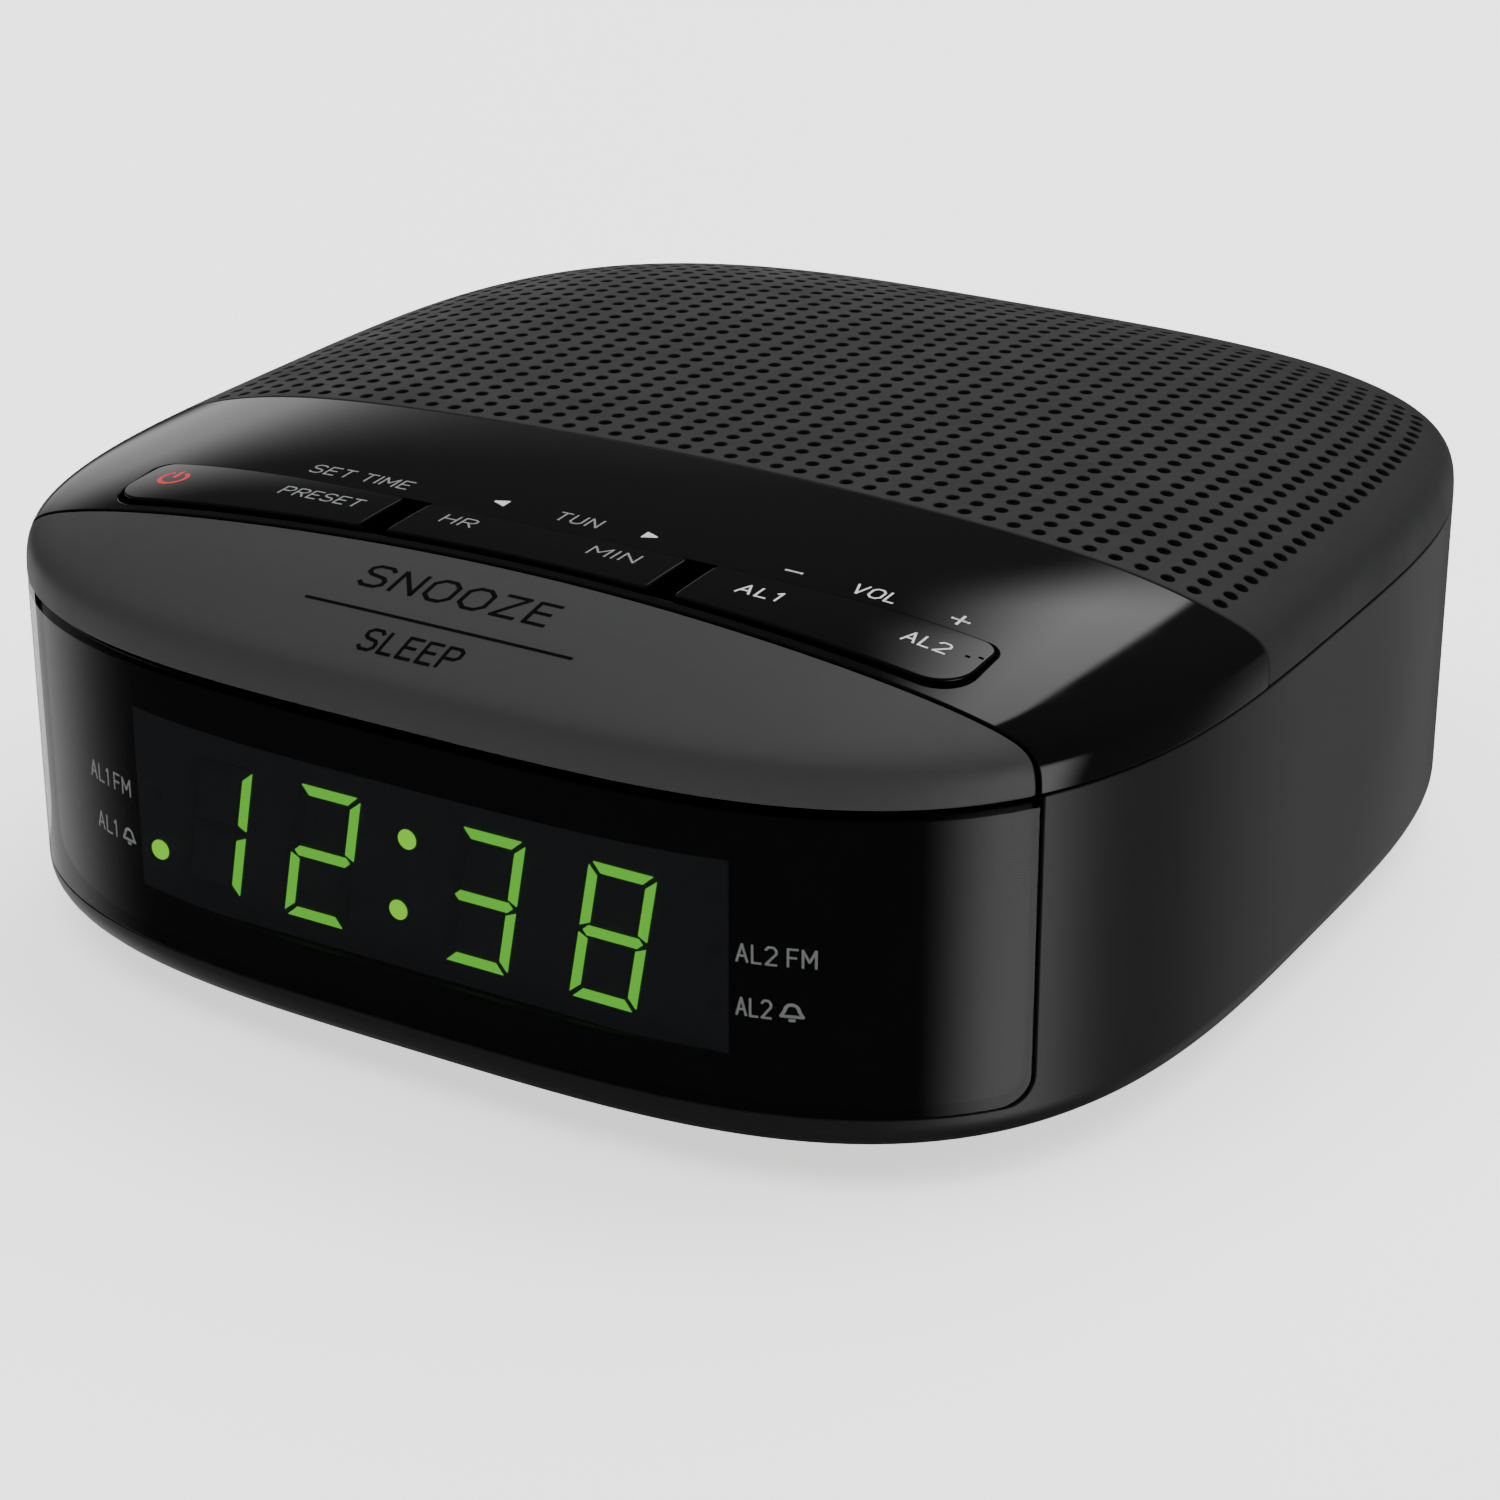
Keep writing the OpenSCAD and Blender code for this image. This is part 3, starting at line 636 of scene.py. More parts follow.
@dataclass(frozen=True)
class Crown:
    """The domed top: an upright lip, a tight shoulder, and a crown that flattens to the middle.

    With s the outline scale, the crown is base + roll_h + crown_h (1 - (s / edge)^power). The
    shoulder is a conic from the crown's edge to the lip, pulled by weight to the corner where the
    crown's tangent meets the upright side.
    """

    outline: Outline
    base: float
    roll_in: float = 5.1
    roll_h: float = 6.15
    crown_h: float = 4.68
    power: float = 4.7
    weight: float = 2.0

    def lift(self, x: np.ndarray, y: np.ndarray, off: float = 0.0) -> tuple[np.ndarray, np.ndarray]:
        """Points of the top above plan positions, and their normals.

        Args:
            x: Distances to the right.
            y: Distances to the back.
            off: Distance to stand off the surface.

        Returns:
            Points and normals.
        """
        s = np.minimum(self.outline.scale(x, y), 1.0)
        edge = 1 - self.roll_in / self.outline.half_w
        slope = self.crown_h * self.power / edge
        high = self.base + self.roll_h
        corner = high - slope * (1 - edge)
        inside = np.minimum(s / edge, 1.0)
        crown_z = high + self.crown_h * (1 - inside**self.power)
        crown_rate = slope * inside ** (self.power - 1)
        share = np.clip((1 - s) / (1 - edge), 1e-7, 1.0)
        r = -self.weight + np.sqrt(self.weight**2 + 1 / share - 1)
        whole = 1 + 2 * self.weight * r + r * r
        top = high + 2 * self.weight * r * corner + r * r * self.base
        grow = 2 * self.weight + 2 * r
        fall = (2 * self.weight * corner + 2 * r * self.base) * whole - top * grow
        on_crown = s <= edge
        z = np.where(on_crown, crown_z, top / whole)
        rate = np.where(on_crown, crown_rate, -fall)
        level = np.where(on_crown, 1.0, (1 - edge) * grow)
        g = self.outline.slope(x, y)
        normals = unit(np.stack([rate * g[..., 0], rate * g[..., 1], level], -1))
        return np.stack([x, y, z], -1) + off * normals, normals


@dataclass(frozen=True)
class Seams:
    """The two bowed seams across the top, and how they are rounded."""

    grille_y: float = -15.2
    snooze_y: float = -49.0
    depth: float = 2.2
    run: float = 48.0
    gap: float = 0.3
    grille_half_gap: float = 0.08
    radius: float = 0.22

    def bow(self, x: np.ndarray) -> np.ndarray:
        """How far forward a seam has curved at each x: a raised cosine out to run.

        Args:
            x: Distances to the right.

        Returns:
            Distances forward.
        """
        return self.depth * (1 - np.cos(math.pi * np.minimum(np.abs(x), self.run) / self.run)) / 2

    def meet(self, outline: Outline, u: np.ndarray, y: float) -> np.ndarray:
        """The v at which a seam crosses each line of constant u, by repeated substitution.

        Args:
            outline: The case outline.
            u: Places across the square.
            y: The seam's y in the middle.

        Returns:
            The places from front to back.
        """
        v = np.full_like(u, y / outline.half_d)
        for _ in range(30):
            x = outline.from_square(u, v)[0]
            v = (y - self.bow(x)) / outline.half_d
            v = v / (1 - np.abs(u) ** outline.power / 2) ** (1 / outline.power)
        return v


def toward_edge(count: int, start: float) -> np.ndarray:
    """Places from start to 1 that crowd towards 1 as the square of the remaining steps.

    Args:
        count: Number of steps.
        start: First place.

    Returns:
        The places.
    """
    left = 1 - np.arange(count + 1) / count
    return 1 - (1 - start) * left**2


CASE_LOW, CASE_HIGH = box_mm("case_body")
OUTLINE = Outline(float(CASE_HIGH[0]), float(CASE_HIGH[1]))
PART_Z = float(CASE_HIGH[2])
FLOOR_Z = float(CASE_LOW[2])
CROWN = Crown(OUTLINE, PART_Z + 0.26)
SEAMS = Seams()


# ---------- top covers ----------


@dataclass
class SnoozeBar:
    """The soft-touch bar along the front of the top."""

    thickness: float = 1.8
    edge_from: float = 0.86
    edge_steps: int = 16
    columns: int = 65
    rows: int = 44

    def skin(self) -> Skin:
        """The bar's outer side: u across, and v from the front outline to the snooze seam.

        Returns:
            The skin.
        """
        side = toward_edge(self.edge_steps, self.edge_from)[1:]
        middle = np.linspace(-self.edge_from, self.edge_from, self.columns)
        u = np.concatenate([-side[::-1], middle, side])
        seam = SEAMS.snooze_y - SEAMS.gap / 2 - SEAMS.radius
        v_seam = SEAMS.meet(OUTLINE, u, seam)
        w = np.linspace(0, 1, self.rows) ** 2
        v = -1 + (v_seam + 1)[None, :] * w[:, None]
        x, y = OUTLINE.from_square(np.broadcast_to(u, v.shape), v)
        return grid_skin(*CROWN.lift(x, y))

    def build(self) -> None:
        """Makes the bar and its engraved marks, whose floors are painted shade."""
        body = shell(self.skin(), self.thickness, SEAMS.radius, 3)
        make_piece("snooze_bar_skin", body, SOFT_TOUCH, "snooze", ["snooze_bar"])
        # The engraved marks are dark strips of painted shade.
        marks = Marks(CROWN.lift)
        marks.write("SNOOZE", -12.2, 9.7, -55.2, 3.4, 0.5)
        marks.line(-15.8, 15.2, -60.4, 0.42)
        marks.write("SLEEP", -6.2, 4.7, -64.0, 2.7, 0.42)
        marks.build("snooze_engraving_painted_shade", ENGRAVING_SHADE, "snooze")


@dataclass
class KeyRow:
    """The three keys, hinged along a crease at their rear."""

    crease: float = -39.8
    front: float = 1.8
    middle: float = 15.4
    side: tuple[float, float] = (18.6, 50.0)
    corner: float = 4.2
    rear_corner: float = 2.0
    rise: float = 0.5
    gap: float = 0.4
    radius: float = 0.25
    hairline: float = 0.03
    thickness: float = 1.6
    corner_points: int = 15
    straight_points: int = 26
    middle_points: int = 33
    rows: int = 12

    def front_y(self, x: np.ndarray) -> np.ndarray:
        """The y of the keys' front edge.

        Args:
            x: Distances to the right.

        Returns:
            Values of y.
        """
        return SEAMS.snooze_y + self.front - SEAMS.bow(x)

    def lift(self, x: np.ndarray, y: np.ndarray, off: float = 0.0) -> tuple[np.ndarray, np.ndarray]:
        """Points of the keys' tops, which tilt up from the crease to the front by rise.

        Args:
            x: Distances to the right.
            y: Distances to the back.
            off: Distance to stand off the surface.

        Returns:
            Points and normals.
        """
        points, normals = CROWN.lift(x, y, off)
        rate = self.rise / (self.crease - SEAMS.snooze_y)
        points[..., 2] += rate * (self.crease - y)
        normals[..., 1] += rate * normals[..., 2]
        return points, unit(normals)

    def key_skin(self, x0: float, x1: float, rounded: bool) -> Skin:
        """A key's top, from its front edge to the crease.

        Args:
            x0: The side nearer the middle.
            x1: The far side.
            rounded: Whether the two corners at the far side are circles' arcs.

        Returns:
            The skin.
        """
        inset = self.radius
        low, high = x0 + inset, x1 - inset
        if rounded:
            r = self.corner - inset
            turn = np.linspace(0, math.pi / 2, self.corner_points)
            straight = np.linspace(low, high - r, self.straight_points)[:-1]
            x = np.concatenate([straight, high - r + r * np.sin(turn)])
            start = float(self.front_y(np.array([high - r]))[0]) + inset
            arc = start + r - r * np.cos(turn)
            y_front = np.concatenate([self.front_y(straight) + inset, arc])
            q = self.rear_corner - inset
            into = np.clip(x - (high - q), 0.0, q)
            y_rear = self.crease - 2 * self.hairline - q + np.sqrt(q**2 - into**2)
        else:
            x = np.linspace(low, high, self.middle_points)
            y_front = self.front_y(x) + inset
            y_rear = np.full_like(x, self.crease - 2 * self.hairline)
        w = np.linspace(0, 1, self.rows)[:, None]
        y = y_front[None, :] * (1 - w) + y_rear[None, :] * w
        return grid_skin(*self.lift(np.broadcast_to(x, y.shape), y))

    def rim_radius(self, points: np.ndarray, radius: float) -> np.ndarray:
        """Rim radius of each point: a hairline along the crease, and radius elsewhere.

        Args:
            points: The skin's points.
            radius: Radius away from the crease.

        Returns:
            One radius a point.
        """
        at_crease = np.abs(points[:, 1] - self.crease) < 4 * self.hairline
        return np.where(at_crease, self.hairline, radius)

    def build(self) -> None:
        """Makes the three keys and the function marks on them."""
        keys = {
            "key_tuning": ("tuning_key", self.key_skin(-self.middle, self.middle, False)),
            "key_alarm": ("alarm_key", self.key_skin(*self.side, True)),
        }
        right = keys["key_alarm"][1]
        flip = np.array([-1.0, 1.0, 1.0])
        left = Skin(right.points * flip, right.normals * flip, right.faces[:, ::-1])
        keys["key_power"] = ("power_key", left)
        for node, (rides, skin) in keys.items():
            rim = self.rim_radius(skin.points, self.radius)
            body = shell(skin, self.thickness, rim, 3)
            make_piece(f"{node}_cap", body, PIANO_BLACK, rides, [node])
        left_marks = Marks(self.lift)
        left_marks.write("PRESET", -31.5, -21.6, -43.3, 1.9, 0.22)
        left_marks.build("power_key_marks", SHADED_INK, "power_key")
        power = Marks(self.lift)
        power.power_mark(-45.6, -43.8, 1.5, 0.5)
        power.build("power_mark", RED_INK_PAINTED_GLOW, "power_key")
        middle_marks = Marks(self.lift)
        middle_marks.write("HR", -11.8, -8.1, -42.5, 1.9, 0.22)
        middle_marks.write("MIN", 5.8, 11.2, -42.4, 1.9, 0.22)
        middle_marks.build("tuning_key_marks", SHADED_INK, "tuning_key")
        right_marks = Marks(self.lift)
        right_marks.write("AL1", 23.4, 27.8, -43.3, 1.9, 0.24)
        right_marks.write("AL2", 41.7, 46.3, -43.6, 1.9, 0.24)
        right_marks.build("alarm_key_marks", WHITE_INK, "alarm_key")
        # The dots use the painted shade of the engraved marks.
        dots = Marks(self.lift)
        dots.line(48.1, 48.4, -43.5, 0.35)
        dots.line(49.2, 49.5, -42.9, 0.35)
        dots.build("alarm_key_dots", ENGRAVING_SHADE, "alarm_key")


@dataclass
class ControlPanel:
    """The glossy band across the top, with one opening for the keys."""

    keys: KeyRow
    thickness: float = 2.0
    end_steps: int = 26
    rim_share: float = 0.8
    opening_share: float = 0.6

    def row(self, y0: float, bowed: float, x: np.ndarray, last: float) -> np.ndarray:
        """A row of plan points: x to last, and then crowding to the outline.

        Args:
            y0: The row's y in the middle.
            bowed: Share of the seams' bow that the row follows.
            x: Distances to the right, up to last.
            last: Where the crowded stretch begins.

        Returns:
            Plan points of the right half, from x[0] to the outline.
        """
        end = float(OUTLINE.half_width(y0 - bowed * SEAMS.depth))
        far = last + (end - last) * toward_edge(self.end_steps, 0.0)[1:]
        xs = np.concatenate([x, far])
        return np.stack([xs, y0 - bowed * SEAMS.bow(xs)], -1)

    def skin(self) -> Skin:
        """The panel's outer side as five grids: behind the keys, in front of them, and two ends.

        Returns:
            The skin.
        """
        k = self.keys
        edge_r = k.radius * self.opening_share
        last = k.side[1] + k.gap + edge_r
        behind = k.crease + 2 * k.hairline
        ahead = SEAMS.snooze_y + k.front - k.gap - edge_r
        seam_front = SEAMS.snooze_y + SEAMS.gap / 2 + SEAMS.radius
        seam_back = SEAMS.grille_y - SEAMS.grille_half_gap - SEAMS.radius
        q = k.rear_corner
        straight = np.linspace(0, last - q, 40)
        shares = np.linspace(0, 1, 26)
        rear = [self.row(behind + (seam_back - behind) * w, w, straight, last - q) for w in shares]
        r = k.corner
        turn = np.linspace(0, math.pi / 2, 13)
        near = np.linspace(0, last - r, 34)
        front = [
            self.row(seam_front + (ahead - seam_front) * w, 1.0, near, last - r)
            for w in np.linspace(0, 1, 4)
        ]
        start = ahead - float(SEAMS.bow(np.array([last - r]))[0])
        arc = np.stack([last - r + r * np.sin(turn), start + r - r * np.cos(turn)], -1)
        up = np.linspace(start + r, behind - q, 6)[1:]
        bend = turn[1:]
        rear_arc = np.stack([last - q + q * np.cos(bend), behind - q + q * np.sin(bend)], -1)
        inner = np.concatenate([arc, np.stack([np.full_like(up, last), up], -1), rear_arc])
        walk = (inner[:, 1] - inner[0, 1]) / (inner[-1, 1] - inner[0, 1])
        outer_y = start + (behind - start) * (0.25 * np.linspace(0, 1, len(walk)) + 0.75 * walk)
        outer_y = np.where(np.arange(len(walk)) == 0, ahead - SEAMS.depth, outer_y)
        outer = np.stack([OUTLINE.half_width(outer_y), outer_y], -1)
        across = toward_edge(self.end_steps, 0.0)[None, :, None]
        end = inner[:, None, :] * (1 - across) + outer[:, None, :] * across
        end[0, :, 1] = ahead - SEAMS.bow(end[0, :, 0])
        plans = []
        for half in (np.array(rear), np.array(front)):
            mirror = half[:, :0:-1] * np.array([-1.0, 1.0])
            plans.append(np.concatenate([mirror, half], axis=1))
        plans += [end, end[:, ::-1] * np.array([-1.0, 1.0])]
        return join([grid_skin(*CROWN.lift(p[..., 0], p[..., 1])) for p in plans])

    def build(self) -> None:
        """Makes the panel and its function marks."""
        skin = self.skin()
        rim = self.keys.rim_radius(skin.points, SEAMS.radius * self.rim_share)
        body = shell(skin, self.thickness, rim, 3)
        make_piece("control_panel_skin", body, PIANO_BLACK, "case", ["control_panel"])
        marks = Marks(CROWN.lift)
        marks.write("SET TIME", -32.3, -19.9, -37.0, 1.9, 0.22)
        marks.write("TUN", -2.0, 3.1, -36.6, 1.9, 0.22)
        marks.build("panel_marks_left", SHADED_INK, "case")
        marks = Marks(CROWN.lift)
        marks.triangle(-9.0, -36.4, -1.0)
        marks.triangle(9.1, -36.7, 1.0)
        marks.write("VOL", 32.9, 37.5, -37.6, 1.9, 0.24)
        marks.line(25.1, 26.9, -37.4, 0.3)
        marks.line(43.6, 45.4, -37.8, 0.3)
        marks.stroke(np.array([[44.5, -38.7], [44.5, -36.9]]), 0.3)
        marks.build("panel_marks_right", WHITE_INK, "case")


@dataclass
class GrilleCover:
    """The domed rear cover with its rows of round holes."""

    rows: int = 28
    columns: int = 44
    pitch_u: float = 2.86
    first_y: float = -13.2
    last_y: float = 57.0
    hole_d: float = 1.45
    hole_radius: float = 0.1
    thickness: float = 1.6
    edge_steps: int = 12
    cloth_half: float = 0.93
    cloth_rear: float = 0.86
    cloth_ahead: float = 1.5
    cloth_t: float = 0.25
    cloth_drop: float = 0.05

    def skin(self) -> Skin:
        """The cover's outer side. A hole's cell is a three by three block of a full grid.

        Each block is left out and twelve faces join its twelve rim points to the hole's circle.

        Returns:
            The skin.
        """
        half = self.pitch_u / OUTLINE.half_w / 2
        span = half * self.columns
        side = toward_edge(self.edge_steps, span)[1:]
        cells = np.linspace(-span, span, 3 * self.columns + 1)
        u = np.concatenate([-side[::-1], cells, side])
        front_edge = SEAMS.grille_y + SEAMS.grille_half_gap + SEAMS.radius
        seam = SEAMS.meet(OUTLINE, u, front_edge)
        first = SEAMS.meet(OUTLINE, u, self.first_y)
        last = self.last_y / OUTLINE.half_d
        step = (last - first) / (self.rows - 1)
        block = np.linspace(-0.5, self.rows - 0.5, 3 * self.rows + 1)[:, None]
        middle = first + step * block
        ahead = seam + (middle[0] - seam) * np.linspace(0, 1, 4)[:-1, None]
        rear_share = toward_edge(self.edge_steps, 0.0)[1:, None]
        rear = middle[-1] + (1 - middle[-1]) * rear_share
        v = np.concatenate([ahead, middle, rear])
        x, y = OUTLINE.from_square(np.broadcast_to(u, v.shape), v)
        width = len(u)
        top, left = len(ahead), len(side)
        row, column = np.meshgrid(np.arange(self.rows), np.arange(self.columns), indexing="ij")
        corner = ((top + 3 * row) * width + left + 3 * column).reshape(-1)
        faces = grid_faces(*v.shape)
        face_row, face_column = np.divmod(np.arange(len(faces)), width - 1)
        drilled = (
            (face_row >= top)
            & (face_row < top + 3 * self.rows)
            & (face_column >= left)
            & (face_column < left + 3 * self.columns)
        )
        around = [0, 1, 2, 3, width + 3, 2 * width + 3]
        around += [3 * width + 3, 3 * width + 2, 3 * width + 1, 3 * width, 2 * width, width]
        rim = corner[:, None] + np.array(around)[None, :]
        flat_x, flat_y = x.reshape(-1), y.reshape(-1)
        rim_x, rim_y = flat_x[rim], flat_y[rim]
        centre_x, centre_y = rim_x.mean(1, keepdims=True), rim_y.mean(1, keepdims=True)
        turn = math.radians(-135) + np.arange(12) * math.tau / 12
        r = self.hole_d / 2 + self.hole_radius
        hole_x, hole_y = centre_x + r * np.cos(turn), centre_y + r * np.sin(turn)
        number = len(flat_x) + np.arange(hole_x.size).reshape(hole_x.shape)
        following = np.roll(np.arange(12), -1)
        joined = np.stack([rim, rim[:, following], number[:, following], number], -1)
        points, normals = CROWN.lift(
            np.concatenate([flat_x, hole_x.reshape(-1)]),
            np.concatenate([flat_y, hole_y.reshape(-1)]),
        )
        return Skin(points, normals, np.concatenate([faces[~drilled], joined.reshape(-1, 4)]))

    def cloth(self) -> Body:
        """The dust cloth: the same dome, a little way under the holes.

        Returns:
            The mesh.
        """
        u = np.linspace(-self.cloth_half, self.cloth_half, 49)
        front = SEAMS.meet(OUTLINE, u, self.first_y - self.cloth_ahead)
        v = front + (self.cloth_rear - front) * np.linspace(0, 1, 41)[:, None]
        x, y = OUTLINE.from_square(np.broadcast_to(u, v.shape), v)
        skin = grid_skin(*CROWN.lift(x, y, -self.thickness - self.cloth_drop))
        return shell(skin, self.cloth_t, 0.1, 2)

    def build(self) -> None:
        """Makes the cover and the cloth under it."""
        skin = self.skin()
        far = OUTLINE.scale(skin.points[:, 0], skin.points[:, 1]) > 0.97
        ahead = skin.points[:, 1] < SEAMS.grille_y + 1.0 - SEAMS.bow(skin.points[:, 0])
        radius = np.where(far | ahead, SEAMS.radius, self.hole_radius)
        body = shell(skin, self.thickness, radius, 1)
        make_piece("grille_cover_skin", body, GRILLE_ABS, "case", ["grille_cover"])
        make_piece("grille_cloth", self.cloth(), SPEAKER_CLOTH, "case")


# ---------- printed and engraved marks ----------

# Each letter is drawn with pen strokes in a box 4 wide and 6 high. A stroke is a list of corners.
LETTERS: dict[str, list[list[tuple[float, float]]]] = {
    "S": [[(4, 5.2), (3.2, 6), (1, 6), (0, 5.1), (0, 4), (0.8, 3.3), (3.3, 2.8), (4, 2),
           (4, 0.9), (3, 0), (0.8, 0), (0, 0.8)]],
    "N": [[(0, 0), (0, 6), (4, 0), (4, 6)]],
    "O": [[(1.3, 6), (3.2, 6), (4.5, 4.7), (4.5, 1.3), (3.2, 0), (1.3, 0), (0, 1.3), (0, 4.7),
           (1.3, 6)]],
    "Z": [[(0, 6), (4, 6), (0, 0), (4, 0)]],
    "E": [[(3.6, 6), (0, 6), (0, 0), (3.6, 0)], [(0, 3.1), (3.1, 3.1)]],
    "L": [[(0, 6), (0, 0), (3.3, 0)]],
    "P": [[(0, 0), (0, 6), (3, 6), (4, 5.2), (4, 3.6), (3, 2.8), (0, 2.8)]],
    "R": [[(0, 0), (0, 6), (3, 6), (4, 5.2), (4, 3.7), (3, 2.9), (0, 2.9)], [(2, 2.9), (4, 0)]],
    "T": [[(0, 6), (4, 6)], [(2, 6), (2, 0)]],
    "I": [[(0, 6), (0, 0)]],
    "M": [[(0, 0), (0, 6), (2.4, 2), (4.8, 6), (4.8, 0)]],
    "H": [[(0, 6), (0, 0)], [(4, 6), (4, 0)], [(0, 3.1), (4, 3.1)]],
    "A": [[(0, 0), (2.1, 6), (4.2, 0)], [(0.8, 2), (3.4, 2)]],
    "U": [[(0, 6), (0, 1.1), (1, 0), (3, 0), (4, 1.1), (4, 6)]],
    "V": [[(0, 6), (2.1, 0), (4.2, 6)]],
    "F": [[(3.6, 6), (0, 6), (0, 0)], [(0, 3.1), (3.1, 3.1)]],
    "1": [[(0, 4.8), (1.2, 6), (1.2, 0)]],
    "2": [[(0, 5), (1, 6), (3, 6), (4, 5), (4, 3.9), (0, 0), (4, 0)]],
}
LETTER_GAP = 1.9
WORD_GAP = 2.4
LETTER_H = 6


@dataclass
class Marks:
    """Flat strokes of ink, or of painted shade for an engraving's floor, laid a hair above a
    surface.
    """

    lift: Callable[[np.ndarray, np.ndarray, float], tuple[np.ndarray, np.ndarray]]
    off: float = 0.015
    overrun: float = 0.3

    def __post_init__(self) -> None:
        """Starts with no strokes."""
        self.bodies: list[Body] = []

    def stroke(self, line: np.ndarray, width: float) -> None:
        """Adds a stroke: each stretch of the line is a strip that overruns its ends a little.

        Args:
            line: Its corners, in the surface's two directions.
            width: Its width.
        """
        start, end = line[:-1], line[1:]
        along = end - start
        along = along / np.maximum(np.linalg.norm(along, axis=1, keepdims=True), 1e-9)
        aside = np.stack([-along[:, 1], along[:, 0]], -1) * width / 2
        start, end = start - along * width * self.overrun, end + along * width * self.overrun
        share = np.linspace(0, 1, 5)[None, :, None]
        middle = start[:, None] * (1 - share) + end[:, None] * share
        plan = np.stack([middle - aside[:, None], middle + aside[:, None]], 1)
        for strip in plan:
            points, normals = self.lift(strip[..., 0], strip[..., 1], self.off)
            skin = grid_skin(points, normals)
            self.bodies.append(Body(skin.points, skin.normals, skin.faces))

    def write(
        self, text: str, left: float, right: float, y: float, height: float, width: float
    ) -> None:
        """Adds a word that runs from left to right, with its middle at y.

        Args:
            text: The word.
            left: Its left end.
            right: Its right end.
            y: Its middle.
            height: Height of a letter.
            width: Width of a stroke.
        """
        pen, strokes = 0.0, []
        for letter in text:
            if letter == " ":
                pen += WORD_GAP
                continue
            lines = [np.array(line, float) for line in LETTERS[letter]]
            strokes += [line + np.array([pen, 0.0]) for line in lines]
            pen += max(line[:, 0].max() for line in lines) + LETTER_GAP
        size = np.array([(right - left) / (pen - LETTER_GAP), height / LETTER_H])
        for line in strokes:
            self.stroke(line * size + np.array([left, y - height / 2]), width)

    def line(self, x0: float, x1: float, y: float, width: float) -> None:
        """Adds a straight line across.

        Args:
            x0: Its left end.
            x1: Its right end.
            y: Its place.
            width: Its width.
        """
        xs = np.linspace(x0, x1, 9)
        self.stroke(np.stack([xs, np.full_like(xs, y)], -1), width)

    def triangle(self, x: float, y: float, way: float) -> None:
        """Adds a solid arrowhead as strips that shorten towards its tip.

        Args:
            x: Its middle.
            y: Its middle.
            way: 1 to point right, -1 to point left.
        """
        for share in np.linspace(0, 0.85, 6):
            at = x + way * (share - 0.4) * 1.5
            reach = (1 - share) * 0.62
            self.stroke(np.array([[at, y - reach], [at, y + reach]]), 0.27)

    def power_mark(self, x: float, y: float, radius: float, width: float) -> None:
        """Adds the usual on and off mark: an open ring with a bar in its gap.

        Args:
            x: Its middle.
            y: Its middle.
            radius: Radius of the ring.
            width: Width of the strokes.
        """
        turn = np.radians(np.linspace(125, 415, 21))
        ring = np.stack([x + radius * np.cos(turn), y + radius * np.sin(turn)], -1)
        self.stroke(ring, width)
        self.stroke(np.array([[x, y + 0.15], [x, y + radius * 1.15]]), width)

    def bell(self, x: float, y: float, size: float, width: float) -> None:
        """Adds a small bell for the buzzer: a dome, its brim and a clapper.

        Args:
            x: Its middle.
            y: Its foot.
            size: Its height.
            width: Width of the strokes.
        """
        turn = np.radians(np.linspace(0, 180, 9))
        dome_x = x + 0.36 * size * np.cos(turn)
        dome_y = y + 0.55 * size + 0.36 * size * np.sin(turn)
        dome = np.stack([dome_x, dome_y], -1)
        foot = y + 0.22 * size
        right = np.array([[x + 0.55 * size, foot]])
        left = np.array([[x - 0.55 * size, foot]])
        self.stroke(np.concatenate([right, dome, left, right]), width)
        self.stroke(np.array([[x - 0.12 * size, y], [x + 0.12 * size, y]]), width)

    def build(self, name: str, finish: Finish, rides: str) -> None:
        """Makes the marks one piece.

        Args:
            name: Name of the piece.
            finish: The ink.
            rides: The CAD body that it moves with.
        """
        make_piece(name, gather(self.bodies), finish, rides)


# ---------- case wall, lens and display ----------


@dataclass
class FrontOpening:
    """The opening in the wall for the lens: from the lower edge up, with rounded lower corners."""

    half: float = 60.0
    foot: float = 7.5
    corner: float = 3.0

    def side(self, grow: float, steps: int) -> tuple[np.ndarray, np.ndarray]:
        """The opening's right side going up: an arc of the corner, then upright.

        Args:
            grow: Distance that the edge is moved outwards.
            steps: Steps in the arc.

        Returns:
            Distance in from the full half-width, and height, of each point of the arc.
        """
        r = self.corner + grow
        turn = np.linspace(0, math.pi / 2, steps + 1)
        return r - r * np.sin(turn), self.foot - grow + r - r * np.cos(turn)


